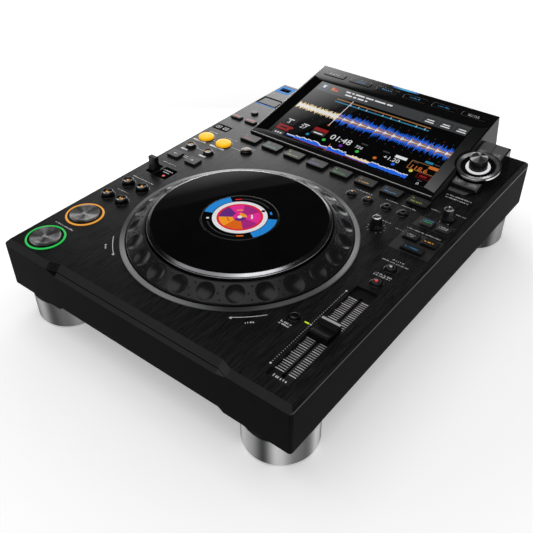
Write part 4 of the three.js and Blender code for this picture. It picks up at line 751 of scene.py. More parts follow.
def figures(shape, text, place, size, height, index):
    """Plain numbers, drawn as flat outlines and filled; their left foot stands on the place."""
    curve = bpy.data.curves.new("figures", "FONT")
    curve.body = text
    curve.size = size * mm
    curve.resolution_u = 3
    source = linked("figures", curve)
    flat = source.to_mesh()
    flat.transform(Matrix.Translation(Vector((*place, height)) * mm))
    before = set(shape.faces)
    shape.from_mesh(flat)
    for made in set(shape.faces) - before:
        made.material_index = index
    source.to_mesh_clear()
    bpy.data.objects.remove(source)


def wave(shape, x, middle, reach, index, layer, columns, floor_share=1.0):
    """A band whose upper and lower edge follow a formula, one column after another."""
    made = bmesh.ops.create_grid(
        shape, x_segments=columns, y_segments=1, size=0.5,
        matrix=Matrix.Scale(mm, 4) @ Matrix.Translation(((x[0] + x[1]) / 2, up(middle), glass_top + layer))
        @ Matrix.Diagonal((x[1] - x[0], 0.01, 1, 1)))
    for vert in made["verts"]:
        side = 1 if vert.co.y / mm > up(middle) else -floor_share
        vert.co.y = (up(middle) + side * reach(vert.co.x / mm)) * mm
    inked(made, index)


beats = random.Random(7)
steps = [beats.random() for _ in range(512)]


def spiky(place, pitch):
    """One sharp point for each step of the pitch, high or low by chance."""
    spot_at = place / pitch + 90
    return (1 - abs(2 * (spot_at % 1) - 1)) * (0.25 + 0.75 * steps[int(spot_at) * 7 % 512])


def ragged(place, pitch):
    """A line that runs from one chance height to the next."""
    spot_at = place / pitch + 200
    low, part = int(spot_at), spot_at % 1
    return steps[low % 512] * (1 - part) + steps[(low + 1) % 512] * part


def beat(place, fall, pitch=10.6):
    """1 on each beat, falling away to the next."""
    return math.exp(-fall * ((place / pitch) % 1))


def overview(x):
    """How full the tune is, from its start to its end."""
    parts = ((-62, 1.4), (-52, 3.4), (-30, 4.6), (-19, 2.4), (4, 4.8), (12, 1.6), (34, 3.2), (80, 4.4))
    full = next(height for end, height in parts if x <= end)
    return full * (0.45 + 0.55 * ragged(x, 1.3))


screen = bmesh.new()
for x, y, index, layer in (
        ((-95.4, 100), (170, 186.6), GREY, 0.02), ((-89, -86), (177, 180), WHITE, 0.05),
        ((-77, -68), (176.5, 182), ORANGE, 0.05), ((-74, -68), (178.5, 182), RED, 0.06),
        ((-60, 62), (164.2, 165.8), BROWN, 0.03), ((-60, 62), (159.3, 161.1), SKY, 0.03),
        ((-40.4, -39.6), (118.6, 169), WHITE, 0.07), ((-41.3, -38.7), (117.6, 119.2), ORANGE, 0.08),
        ((-87.5, -79.5), (107.3, 108.6), WHITE, 0.05), ((-66.5, -58.5), (107.3, 108.6), WHITE, 0.05),
        ((-51, -33.5), (104.6, 110), RED, 0.04), ((-51, -33.5), (98.6, 103.6), GREY, 0.04),
        ((-48, -36.5), (100.2, 101.8), WHITE, 0.05), ((10, 18), (107.6, 109.4), GREY, 0.05),
        ((37, 45), (107.6, 109.4), GREY, 0.05), ((52.4, 66), (105.6, 109.8), WHITE, 0.05),
        ((84, 93), (112.4, 115.8), SKY, 0.05), ((94.5, 101), (113.3, 115), GREY, 0.05),
        ((91.5, 102), (105.8, 110), ORANGE, 0.05), ((73.6, 79), (107.6, 109), GREY, 0.06),
        ((89.5, 97.5), (91, 93.4), RED, 0.05), ((91, 96), (84.6, 86.2), GREY, 0.05),
        ((-91.5, -75), (87.6, 96.6), RED, 0.04), ((-88, -78.5), (91, 93.4), BLACK, 0.05),
        ((-91, -76), (78.4, 85.8), GREY, 0.04), ((-62, 30), (81, 81.7), RED, 0.05),
        ((-19.6, -18.8), (80, 92), ORANGE, 0.06)):
    panel(screen, x, y, index, layer)
for x, y, thick, index, layer in (
        ((-92, -82.4), (173, 183.6), 0.5, SKY, 0.03), ((-91, -76), (100, 110.4), 0.45, GREY, 0.05),
        ((71.4, 102.6), (97, 110.4), 0.7, BROWN, 0.05), ((86.6, 101), (88.6, 95.8), 0.4, RED, 0.05)):
    outline(screen, x, y, thick, index, layer)
for x in (47.5, 66.5, 85.5):
    outline(screen, (x - 0.7, x + 14.7), (169.4, 181.4), 0.5, BLACK)
    panel(screen, (x + 3, x + 11.5), (177, 178.5), WHITE)
    panel(screen, (x + 2, x + 12.5), (173.3, 174.9), WHITE)
bar(screen, (-87.5, up(181.2)), (4.4, 1.6), glass_top + 0.05, WHITE)
for x, y, runs in ((-58, 180.3, (6, 3, 12, 10, 14, 7)), (-56, 174.6, (9, 4, 8, 3))):
    for length in runs:
        panel(screen, (x, x + length), (y, y + 2.4), WHITE)
        x += length + 2
beat_pitch = 10.6
for index in range(19):
    x = beat_pitch * index - 95
    for y, length in ((150, 2.2), (118.6, 2)):
        panel(screen, (x, x + 0.6), (y, y + length), RED if index % 4 == 1 else GREY)
for index in range(5, 15):
    x = beat_pitch * index - 91.9
    panel(screen, (x, x + 0.7), (159.6, 162.6), WHITE if index % 4 else RED, 0.06)
for index in range(8):
    x = 20.6 * index - 71
    panel(screen, (x, x + 0.6), (78.2, 80), GREY)
for x, middle, reach, index, layer, columns in (
        ((-95.4, -40), 136, lambda x: 1.6 + 3.4 * beat(x, 2, 5.3) + 5.4 * spiky(x, 1.9), CREAM, 0.03, 230),
        ((-95.4, -40), 136, lambda x: 0.8 + 1.6 * beat(x, 3, 5.3) + 3.4 * spiky(x + 7, 1.7), WHITE, 0.04,
         230),
        ((-40, 103.3), 135.4, lambda x: 2.4 + 3.2 * beat(x, 1.6) + 8.2 * spiky(x, 2.1) + 1.6 * ragged(x, 3),
         BLUE, 0.03, 560),
        ((-40, 103.3), 135.4, lambda x: 0.5 + 2.6 * beat(x, 2.4) + 6 * spiky(x + 3, 2.65), BROWN, 0.04, 560),
        ((-40, 103.3), 135.4, lambda x: 0.3 + 4.6 * beat(x, 5) * (0.35 + spiky(x + 5, 1.6)), WHITE, 0.05,
         560)):
    wave(screen, x, middle, reach, index, layer, columns)
for x, middle, reach, index, layer, columns, floor_share in (
        ((-73, 79), 83.2, lambda x: overview(x) + 1.1, WHITE, 0.03, 260, 0.05),
        ((-73, 79), 83, overview, BLUE, 0.04, 260, 0.5),
        ((6, 34), 83.4, lambda x: overview(x) + 0.4, CREAM, 0.045, 60, 0.1)):
    wave(screen, x, middle, reach, index, layer, columns, floor_share)
for text, x, y, size, index in (
        ("3", -86, 101, 8.2, WHITE), ("27", -68.2, 100.4, 8.4, WHITE), ("01:48", -26.6, 99.2, 12.2, WHITE),
        ("726", 6.6, 99.4, 6.2, WHITE), ("+1.20", 41.6, 98.2, 8.4, WHITE), ("118.6", 73.4, 97.8, 9.2, ORANGE),
        ("0", 92, 78.4, 6, WHITE)):
    figures(screen, text, (x, up(y)), size, glass_top + (0.06 if index == ORANGE else 0.05), index)
for x, index in ((-74, RED), (-52, SKY), (-30, GREEN), (-8, VIOLET), (13, GREEN), (35, ORANGE), (57, BLUE),
                 (78, YELLOW)):
    spot(screen, (x, up(94.6)), 2.1, glass_top + 0.06, index)
for x in (-87, -83.6, -80.2):
    spot(screen, (x, up(82)), 1.2, glass_top + 0.06, WHITE)
printed(screen, "screen_picture", "player", "screen_glass", *inks_of("screen", screen_colours), tilt=face)


# Keys along the top of the screen: shallow rounded caps with a label lit from behind. A short light
# bar sits at the rear edge above them.

label_white = lit("label_white", (0.62, 0.62, 0.64), 0.75, 0.4)
label_blue = lit("label_blue", (0.03, 0.3, 0.62), 0.8, 0.4)
key_plastic = moulded("key_plastic", (0.014, 0.014, 0.0145), (0.05, 0.05, 0.052), 0.36, 0.48, 2400, 0.00002,
                      0.45)
soft_key = moulded("soft_key", (0.085, 0.085, 0.087), (0.2, 0.2, 0.202), 0.4, 0.52, 2400, 0.00002, 0.5)
dressed("browse_keys", "screen_keys", "browse_keys", "key_grey", piano, width=0.3)


def worded(shape, centre, width, height, tall, seed, index=0, rows=1, gap=0.45, pitch=2.3, turn=0.0):
    """Rows of short upright blocks of mixed height, in small groups, that mark what a key is for."""
    pick = random.Random(seed)
    for row in range(rows):
        start, blocks = 0, []
        while start < width:
            length = tall * pick.uniform(0.25, 0.5)
            blocks.append((start + length / 2, length, tall * pick.choice((0.6, 0.75, 1))))
            start += length + gap * pick.choice((1, 1, 1, 3))
        for place, length, full in blocks:
            offset = Vector((place - start / 2, (row - (rows - 1) / 2) * -pitch + (full - tall) / 2))
            bar(shape, Vector(centre) + turned_by(turn, size=2) @ offset, (length, full), height, index, turn)


def block(shape, centre, size, before=Matrix(), tilt=Matrix()):
    """Box from its middle and size in millimetres, tilted about its middle and then moved as a whole."""
    place = (before @ Matrix.Translation(Vector(centre) * mm) @ tilt
             @ Matrix.Diagonal((*(Vector(size) * mm), 1)))
    return bmesh.ops.create_cube(shape, size=1, matrix=place)


face_middle, key_pitch = 2.3, 0.1587 * 229.4
words = bmesh.new()
for number in range(6):
    rows, tall = (2, 1.6) if number == 5 else (1, 2)
    worded(words, (face_middle + key_pitch * (number - 2.5), up(203.2)), 13, 0.7 + 0.03, tall, number + 3,
           0 if number in (0, 5) else 1, rows, 0.5)
printed(words, "screen_key_labels", "browse_keys", "key_grey", label_white, label_blue, tilt=face)
bar_blue, tree, shader = finish("light_bar_blue", Roughness=0.25, Emission_Strength=1,
                                Base_Color=(0.01, 0.02, 0.05, 1))
from_middle = sums(tree, "ABSOLUTE", sums(tree, "SUBTRACT", split(tree, on_object(tree))["X"], 0.0025))
middle_glow = product(tree, between(tree, from_middle, 0.004, 0.018, 1, 0),
                      placed(tree, grain, Stretch=(900, 900, 900), Low=0.85, High=1)["Value"])
put(tree, shader["Emission Color"], tinted(tree, middle_glow, (0.02, 0.035, 0.28), (0.04, 0.42, 0.72)))
light_bar = bmesh.new()
block(light_bar, (2.5, up(213.2), 0.05), (34, 2.2, 0.5))
eased(light_bar, 0.2)
bmesh.ops.transform(light_bar, matrix=face, verts=light_bar.verts)
finished(light_bar, "screen_light_bar", "player", "housing_black", bar_blue)
# Painted glint: a thin pale line along the front edge of the screen's face.
painted_glint_line = bmesh.new()
bar(painted_glint_line, (face_middle, up(69.3)), (226, 0.6), 0.03)
printed(painted_glint_line, "screen_painted_glint_line", "player", "housing_black", painted_rim_glint, tilt=face)


# Selector pod: a small polished black desk beside the screen, with four soft keys round a dish. The dish is
# spun aluminium, black with a bright cut edge, with bright and dark fans painted on both as painted
# highlights, and a white ring glows inside it.

pod_centre = (132.5, 136, 96.278)
pod_place = Vector(pod_centre) * mm
pod = Matrix.Translation(pod_place) @ Matrix.Rotation(lean_back, 4, "X")


def spun(name, colour, roughness, anisotropic, centre=(0, 0, 0), axis=(0, 0, 1), turns=2, phase=3.39,
         painted_darkest=0.12, gather=1, metallic=1):
    """Metal turned on a lathe: fine rings, and painted light and dark fans round the middle."""
    made, tree, shader = finish(name, Metallic=metallic, Anisotropic=anisotropic)
    out_from = vectors(tree, "SUBTRACT", on_object(tree), tuple(Vector(centre) * mm))
    around = vectors(tree, "CROSS_PRODUCT", axis, out_from)
    put(tree, shader["Tangent"], vectors(tree, "NORMALIZE", around))
    rings = node(tree, "ShaderNodeTexNoise", noise_dimensions="1D")
    for label, value in {"Scale": 4200, "Detail": 2, "W": vectors(tree, "LENGTH", around)}.items():
        put(tree, rings.inputs[label], value)
    put(tree, shader["Roughness"], between(tree, rings.outputs["Fac"], 0.3, 0.7, *roughness))
    bumped(tree, rings.outputs["Fac"], shader, 0.000002)
    # Painted highlight and shade: bright and dark fans in the base colour.
    painted_fan_mask = sums(tree, "MAXIMUM", painted_fans_round(tree, centre, turns, phase), 0)
    painted_light_and_dark = tinted(tree, sums(tree, "POWER", painted_fan_mask, gather), tuple(painted_darkest * part for part in colour),
                            tuple(1.5 * part for part in colour))
    ringed = tinted(tree, product(tree, rings.outputs["Fac"], 0.12), painted_light_and_dark, colour)
    put(tree, shader["Base Color"], dusted(tree, ringed, 0.25, 0.3))
    return made


def tilted(shape):
    """A shape made upright, laid on the desk."""
    bmesh.ops.transform(shape, matrix=pod, verts=shape.verts)
    return shape


desk = eased(solid_of("selector_pod"), 0.3,
             chosen=lambda edge: (edge.verts[0].co - pod_place).length > 25 * mm)
finished(desk, "selector_desk", "player", "gloss_black", piano, solid="selector_pod")
dish_black = spun("dish_black", (0.85, 0.85, 0.855), (0.22, 0.3), 0.9, pod_centre, face_out, painted_darkest=0.006,
                  gather=4, metallic=0.2)
dish_edge = spun("dish_edge", (0.6, 0.6, 0.61), (0.12, 0.2), 0.5, pod_centre, face_out)
ring_white = lit("ring_white", (0.86, 0.86, 0.88), 0.9, 0.3)
dish = turned([(11.9, 2.5), (12.8, 2.56), (21.3, 4.56), (21.6, 4.62), (22.5, 4.62), (22.85, 4.4),
               (22.87, 2.4)], 144)
shaded(dish, lambda middle, normal: 1 if off_axis(middle) > 21.4 else 0)
finished(tilted(dish), "selector_dish", "player", "gloss_black", dish_black, dish_edge)
glow_ring = turned([(9.4, 2.52), (9.4, 3.2), (12.3, 3.2), (12.5, 2.52)], 96, soft=0.3, steps=2)
finished(tilted(glow_ring), "selector_glow_ring", "player", "gloss_black", ring_white)
pod_inside = pod.inverted()


def outer_corner(edge):
    """Upright edges at the four outer corners of the keys."""
    way = (edge.verts[0].co - edge.verts[1].co).normalized()
    middle = pod_inside @ halfway(edge) / mm
    return abs(way.dot(Vector(face_out))) > 0.9 and abs(middle.x) > 12 and abs(middle.y) > 25


desk_keys = eased(solid_of("selector_keys"), 3, 5, chosen=outer_corner, clamp=False)
finished(eased(desk_keys, 0.6, 3), "selector_soft_keys", "selector_keys", "key_grey", soft_key,
         solid="selector_keys")
marks = bmesh.new()
for x, y, seed in ((-7.6, 28.5, 1), (7.6, 28.5, 2), (-7.6, -25.5, 3), (7.6, -25.5, 4)):
    worded(marks, (x, y), 7.5, 0.03, 1.3, seed, 0, 2, 0.5, 2.4)
printed(marks, "selector_key_labels", "selector_keys", "key_grey", label_white, tilt=pod)


# Selector knob: a fluted black skirt under a spun metal crown, whose bright and dark fans are painted
# highlights. It turns on the shaft, and a push moves both down.

crown_metal = spun("crown_metal", (0.5, 0.5, 0.505), (0.2, 0.28), 0.9, pod_centre, face_out, turns=3,
                   phase=1.2, painted_darkest=0.008, gather=4, metallic=0.25)
knob = turned([(3.4, 3.95), (8.4, 3.95), (8.4, 7.4), (8.7, 8), (8.7, 14.2), (8.2, 15.1), (7.6, 15.4),
               (5.6, 15.2), (2.4, 14.9), (0, 14.82)], 128, soft=0.35)
for index in range(18):
    block(knob, (8.75, 0, 5.7), (1.2, 1.9, 3.4), turned_by(20 * index))
shaded(knob, lambda middle, normal: 1 if middle.z > 14.3 else 0)
for index in range(3):
    low = 9.2 + 1.7 * index
    turned([(8.62, low), (8.74, low + 0.1), (8.74, low + 0.7), (8.62, low + 0.8)], 96, shape=knob)
knob_black = moulded("knob_black", (0.005, 0.005, 0.0053), (0.05, 0.05, 0.05), 0.2, 0.32, 2600, 0.00002, 0.35)
finished(tilted(knob), "selector_grip", "selector_knob", "spun_aluminium", knob_black, crown_metal,
         solid="selector_knob", sharp=28)
dressed("selector_shaft", "selector_spindle", "selector_shaft", "socket_metal", post, width=0.2)


# Start and cue keys: shallow dished caps of spun aluminium, with light and dark fans painted on them as
# highlights, in a ring of clear plastic, which glows green for start and orange for cue.

under_deck = 82.8


def cap_of(name):
    """Middle and top of a key's solid, in millimetres."""
    low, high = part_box(name)
    return ((low.x + high.x) / 2 / mm, (low.y + high.y) / 2 / mm), high.z / mm


lit_green = lit("lit_green", (0.02, 0.62, 0.1), 0.95, 0.3, 0.75)
lit_orange = lit("lit_orange", (0.95, 0.4, 0.045), 0.95, 0.3)
for name, light, phase in (("play_button", lit_green, 0.4), ("cue_button", lit_orange, 1.3)):
    centre, top = cap_of(name)
    place = (*centre, 0)
    cap_metal = spun(name + "_metal", (0.36, 0.355, 0.355), (0.24, 0.34), 0.93, place, turns=3, phase=phase,
                     painted_darkest=0.14, gather=1.6, metallic=0.8)
    cap = turned([(0, 81.9), (15.4, 81.9), (15.4, under_deck), (14.4, under_deck), (14.4, top - 0.8),
                  (13.9, top), (12.6, top), (9, top - 0.55), (4.5, top - 0.85), (0, top - 0.95)],
                 128, place, soft=0.3)
    finished(cap, name + "_cap", name, "spun_aluminium", cap_metal, solid=name, sharp=50)
    ring = turned([(15, 85.72), (15, 86), (15.3, 86.1), (16.6, 86.1), (16.8, 86.2), (17, 86.5),
                   (18.2, 86.5), (18.5, 86.2), (18.6, 85.72)], 128, place, soft=0.15, steps=2)
    shaded(ring, lambda middle, normal: 1 if off_axis(middle, place) < 16.7 else 0)
    finished(ring, name + "_light", "player", "gloss_black", light, piano)
    mark = bmesh.new()
    for index in range(3):
        bar(mark, (centre[0] + 2.2 * (index - 1), centre[1]), (0.8, 3.4 - 0.6 * index), top - 0.78)
    printed(mark, name + "_mark", name, "spun_aluminium", label_white)


# Search and track keys: glossy dished caps in pairs, each with a lit amber sign.

print_orange = lit("print_orange", (0.95, 0.42, 0.04), 0.95, 0.35)
print_white = moulded("print_white", (0.62, 0.62, 0.63), (0.7, 0.7, 0.7), 0.45, 0.6, 2200, 0.00001, 0.4, 0, 0)
on_deck, on_print = deck_top + 0.02, 0.03
collar_shape = ((0.42, on_deck), (0.42, 86), (0.7, 86.15), (1.25, 86.05), (1.5, on_deck))


def domed(name, radius, cap_finish, slot="key_grey", mark=None, dish=0.0):
    """Round key with a crowned or dished top, set in a thin raised collar on the deck."""
    centre, top = cap_of(name)
    place = (*centre, 0)
    crown = [(0, top), (radius * 0.5, top - 0.12), (radius * 0.8, top - 0.42)]
    if dish:
        crown = [(0, top - dish), (radius * 0.45, top - dish * 0.8), (radius * 0.8, top - 0.06)]
    cap = turned([*crown, (radius - 0.25, top - 0.9), (radius, top - 1.8), (radius, under_deck),
                  (radius + 1.2, under_deck), (radius + 1.2, 81.6), (0, 81.6)], 64, place, soft=0.5)
    finished(cap, name + "_cap", name, slot, cap_finish, solid=name, sharp=50)
    collar = turned([(radius + out, height) for out, height in collar_shape], 64, place, soft=0.2, steps=2)
    finished(collar, name + "_collar", "player", "gloss_black", piano)
    if mark:
        sign = bmesh.new()
        mark(sign, centre, top - (dish * 0.9 if dish else 0.1) + 0.06)
        printed(sign, name + "_sign", name, slot, print_orange)


def wedge(shape, centre, reach, height, turn=0.0):
    """Three-cornered arrow that points along its turn, in degrees."""
    spot(shape, centre, reach, height, 0, 3, turn - 90)


def double_arrow(way):
    def draw(shape, centre, height):
        for shift in (-1.4, 1.4):
            wedge(shape, (centre[0] + way * shift, centre[1]), 1.9, height, 0 if way > 0 else 180)
    return draw


def arrow_and_bar(way):
    def draw(shape, centre, height):
        wedge(shape, centre, 2, height, 0 if way > 0 else 180)
        bar(shape, (centre[0] + way * 2.3, centre[1]), (0.8, 3.2), height)
    return draw


for name, mark in (("search_reverse_button", double_arrow(-1)), ("search_forward_button", double_arrow(1)),
                   ("track_back_button", arrow_and_bar(-1)), ("track_next_button", arrow_and_bar(1))):
    domed(name, 6.3, piano, "gloss_black", mark, 1.1)


# Loop keys: two round amber lenses, lit from below.

amber, tree, shader = finish("amber_lens", Roughness=0.45, Emission_Strength=0.6, Specular_IOR_Level=0.2)
cloud = placed(tree, grain, Stretch=(260, 260, 260), Low=0, High=1)["Value"]
put(tree, shader["Base Color"], tinted(tree, cloud, (0.68, 0.33, 0.003), (0.74, 0.39, 0.005)))
put(tree, shader["Emission Color"], tinted(tree, cloud, (0.82, 0.38, 0.004), (0.95, 0.5, 0.008)))
for name in ("loop_in_button", "loop_out_button"):
    domed(name, 8.6, amber, "amber_plastic")


# Re-loop key and tempo reset key: small dark caps, the first with a ring on it.

def open_ring(radii, bearings, arrow_at=0):
    def draw(shape, centre, height):
        sector(shape, centre, radii, bearings, height)
        if arrow_at:
            wedge(shape, (centre[0], centre[1] + arrow_at), 0.9, height)
    return draw


domed("reloop_button", 6.2, piano, mark=open_ring((1.2, 1.7), (40, 340)))
domed("tempo_reset_button", 4.4, piano)


# Pads and flat keys: rounded caps of matt dark grey. Each hot cue pad has a small mark and a stand-in
# for a word, lit in its own colour; the rest carry a lit or printed stand-in for a word.

pad_plastic = moulded("pad_plastic", (0.007, 0.007, 0.0073), (0.04, 0.04, 0.041), 0.3, 0.42, 2400, 0.00002,
                      0.25)
pad_corner, pad_edge, pad_lip, flange = 1.4, 0.5, 1.2, 1.2


def pad(name):
    """Cap of a flat key: upright corners first, then the rim, over the flange that holds it down."""
    low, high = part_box(name)
    low, high = low / mm, high / mm
    shape = bmesh.new()
    for first, last, rim in (
            (low + Vector((pad_lip, pad_lip, 1)), high, pad_edge),
            (low, Vector((high.x, high.y, low.z + flange)), 0)):
        made = block(shape, (first + last) / 2, last - first)
        uprights = [joint for joint in {joint for vert in made["verts"] for joint in vert.link_edges}
                    if abs(joint.verts[0].co.z - joint.verts[1].co.z) > (last.z - first.z) / 2 * mm]
        bmesh.ops.bevel(shape, geom=uprights, offset=pad_corner * mm, affect="EDGES", segments=5, profile=0.5,
                        material=-1)
        if rim:
            top = [joint for joint in shape.edges if joint.is_manifold and joint.calc_face_angle(0) > 1
                   and all(abs(vert.co.z / mm - last.z) < 0.001 for vert in joint.verts)]
            bmesh.ops.bevel(shape, geom=top, offset=rim * mm, affect="EDGES", segments=3, profile=0.5,
                            material=-1)
    return shape


def flat_key(name, piece, plastic, ink, draw):
    """Flat key and the label that a function draws on it, from its middle and height."""
    finished(pad(name), piece + "_cap", name, "key_grey", plastic, solid=name)
    centre, top = cap_of(name)
    sign = bmesh.new()
    draw(sign, centre, top + on_print)
    printed(sign, piece + "_label", name, "key_grey", ink)


def mark_and_word(seed):
    def draw(shape, centre, height):
        wedge(shape, (centre[0] - 6.6, centre[1] + 2.9), 1.1, height, 90)
        worded(shape, (centre[0], centre[1] - 2.2), 13, height, 1.9, seed, gap=0.4)
    return draw


def words_at(*rows):
    def draw(shape, centre, height):
        for y, width, seed in rows:
            worded(shape, (centre[0], centre[1] + y), width, height, 1.5, seed)
    return draw


def arrow_and_dash(way):
    def draw(shape, centre, height):
        wedge(shape, (centre[0], centre[1] + 0.4), 1.5, height, 180 if way > 0 else 0)
        bar(shape, (centre[0] + 2.3 * way, centre[1] + 0.4), (1.6, 0.7), height)
    return draw


cue_colours = {"a": (0.5, 0.03, 0.05), "b": (0.03, 0.42, 0.32), "c": (0.4, 0.5, 0.05),
               "d": (0.26, 0.12, 0.55), "e": (0.05, 0.5, 0.05), "f": (0.62, 0.33, 0.03),
               "g": (0.03, 0.27, 0.6), "h": (0.42, 0.48, 0.03)}
for number, (letter, colour) in enumerate(cue_colours.items()):
    flat_key(f"hot_cue_{letter}_button", f"hot_cue_{letter}", pad_plastic,
             lit(f"cue_light_{letter}", colour, 0.85, 0.4), mark_and_word(number + 20))
for name, plastic, ink, draw in (
        ("sync_master_button", pad_plastic, label_white, words_at((1.3, 8.5, 31), (-1.3, 6, 32))),
        ("beat_sync_button", pad_plastic, print_orange, words_at((0, 9, 33))),
        ("key_sync_button", pad_plastic, label_blue, words_at((0, 13, 34))),
        ("jump_back_button", key_plastic, print_white, arrow_and_dash(1)),
        ("jump_forward_button", key_plastic, print_white, arrow_and_dash(-1))):
    flat_key(name, name, plastic, ink, draw)
for name, way in (("short_loop_button", 1), ("long_loop_button", -1)):
    domed(name, 5.6, piano, mark=open_ring((1.3, 1.9), (30, 330), 1.9 * way), dish=0.7)


# Grouped small keys: memory row, jog mode pair, media pair and tempo pair. Each group is one rubber-
# linked strip under the deck, so a group keeps its solid and gets eased edges.

for name in ("memory_keys", "jog_mode_keys", "media_keys", "tempo_keys"):
    dressed(name, name + "_strip", name, "key_grey", key_plastic, width=0.3, segments=3, sharp=25)
small_domes = {"memory_keys": ((47, 33), (66, 33), (87, 33), (105, 33)),
               "tempo_keys": ((139, -48), (139, -72))}
dome_top = 88.6
for name, places in small_domes.items():
    caps, collars = bmesh.new(), bmesh.new()
    for place in places:
        turned([(0, dome_top), (2, 88.5), (3.4, 88), (4.3, 87), (4.5, 86), (4.5, deck_top + 0.05)], 48,
               (*place, 0), caps, 0.4)
        turned([(4.8, on_deck), (4.8, 86), (5.2, 86.2), (5.8, 86.1), (6.2, on_deck)], 48,
               (*place, 0), collars, 0.2, 2)
    finished(caps, name + "_domes", name, "key_grey", piano, sharp=50)
    finished(collars, name + "_collars", "player", "gloss_black", piano)
on_dome = dome_top + 0.04
dome_marks = bmesh.new()
for place, turn in zip(small_domes["memory_keys"], (180, 0)):
    wedge(dome_marks, place, 1.4, on_dome, turn)
printed(dome_marks, "memory_signs", "memory_keys", "key_grey", print_orange)
# The rear tempo key's small white spot is a glowing painted highlight; the front key's red spot is its lamp.
tempo_lamp_and_highlight = bmesh.new()
for place, radius, index in zip(small_domes["tempo_keys"], (1.2, 1.5), (0, 1)):
    spot(tempo_lamp_and_highlight, place, radius, on_dome, index)
tempo_red = lit("tempo_red", (0.75, 0.05, 0.05), 1, 0.3)
printed(tempo_lamp_and_highlight, "tempo_lamp_and_highlight", "tempo_keys", "key_grey", label_white, tempo_red)
mode_marks = bmesh.new()
for x, y, width, tall, seed, index, rows in (
        (132.5, 34.1, 8.6, 1.6, 41, 0, 1), (132.5, 31.2, 8.6, 1.6, 42, 1, 1), (149.5, 31, 8, 1.5, 43, 2, 2)):
    worded(mode_marks, (x, y), width, 88.1 + on_print, tall, seed, index, rows)
printed(mode_marks, "jog_mode_labels", "jog_mode_keys", "key_grey", label_blue, lit_green, label_white)
media_marks = bmesh.new()
for x, seed in ((-150.62, 44), (-129.8, 45)):
    worded(media_marks, (x, 89.9), 10, 88.3 + on_print, 2, seed)
printed(media_marks, "media_labels", "media_keys", "key_grey", lit("red_glow", (0.85, 0.03, 0.035), 1, 0.35))


# Small knobs and the direction lever: black plastic grips. The knobs are fluted, have a spun top with painted
# light and dark fans as highlights and a pointer line, and stand in a printed scale.

for name, pointing, every in (("vinyl_speed_knob", 35, 1), ("jog_adjust_knob", 20, 5)):
    centre, top = cap_of(name)
    place = (*centre, 0)
    grip = turned([(0, top - 0.5), (3.1, top - 0.35), (3.7, top), (4.3, top - 0.3), (4.6, top - 1), (4.9, 91),
                   (5.8, 88.4), (6.4, 87.4), (6.4, 86.4), (5.8, 86.2), (3, 86.2), (3, 79), (0, 79)],
                  96, place, soft=0.35)
    flutes = 14
    for index in range(flutes):
        block(grip, (5, 0, 91.2), (1, 1.2, 8),
              Matrix.Translation(Vector(place) * mm) @ turned_by(360 / flutes * index), turned_by(-9, "Y"))
    shaded(grip, lambda middle, normal: 1 if middle.z > top - 0.62 else 0)
    finished(grip, name + "_grip", name, "knob_black", knob_black,
             spun(name + "_top", (0.55, 0.55, 0.56), (0.18, 0.28), 0.9, place), solid=name, sharp=28)
    pointer = bmesh.new()
    bar(pointer, round_from(centre, 3.6, 90 + pointing), (2.4, 0.7), top + 0.04, 0, 90 + pointing)
    printed(pointer, name + "_pointer", name, "knob_black", print_white)
    scale = bmesh.new()
    for bearing in range(-60, 241, 30 * every):
        bar(scale, round_from(centre, 8.6, bearing), (1.3, 0.4), deck_top + on_print, 0, bearing)
    printed(scale, name + "_scale", "player", "deck_black", print_white)
dressed("direction_lever", "lever_grip", "direction_lever", "knob_black", knob_black, width=0.7, segments=3)


# Tempo fader: a sunk tray with a printed scale on both sides of its slot, and a grooved black cap
# with a bright bar across it. The slider holds anywhere along its travel.

dressed("fader_tray", "fader_well", "player", "housing_black", satin_black, width=0.3)
fader_centre, fader_floor = (138.02, -146.71), deck_top - 4 + 0.04
scale_lines, scale_pitch = 41, 2.5
scale = bmesh.new()
for index in range(scale_lines):
    y = fader_centre[1] + scale_pitch * (index - scale_lines // 2)
    heavy = index % 4 == 0
    for side in (-1, 1):
        extra = 1.4 if heavy and side < 0 else 0
        bar(scale, (fader_centre[0] + side * (5.9 + extra / 2), y), (7.4 + extra, 0.75 if heavy else 0.6),
            fader_floor, 0 if heavy else 1)
        bar(scale, (fader_centre[0] + side * 1.45, y), (1.5, scale_pitch), fader_floor - 0.01, 2)
worded(scale, (138, -203.6), 12, fader_floor, 2.7, 73, gap=0.5)
printed(scale, "fader_scale", "player", "housing_black", print_white,
        moulded("print_grey", (0.5, 0.5, 0.5), (0.5, 0.5, 0.5), 0.5, 0.6, 2200, 0.00001, 0.4, 0, 0),
        moulded("slot_lip", (0.014, 0.014, 0.0142), (0.03, 0.03, 0.03), 0.5, 0.6, 2200, 0.00002, 0.3))
fader_silver = moulded("fader_silver", (0.36, 0.36, 0.365), (0.5, 0.5, 0.5), 0.3, 0.4, 2600, 0.00001, 0.5)
fader_black = moulded("fader_black", (0.003, 0.003, 0.0032), (0.03, 0.03, 0.03), 0.3, 0.42, 2600, 0.00002,
                      0.16)
slider = eased(solid_of("tempo_slider"), 0.35, 3)
shaded(slider, lambda middle, normal: 1 if middle.z > 89.5 and middle.y > fader_centre[1] + 7 else 0)
finished(slider, "fader_cap", "tempo_slider", "knob_black", fader_black, fader_silver, solid="tempo_slider")


# Media corner: the sockets' block under the deck, a lit frame round the memory stick port, and a
# hinged grey door over the card slot.

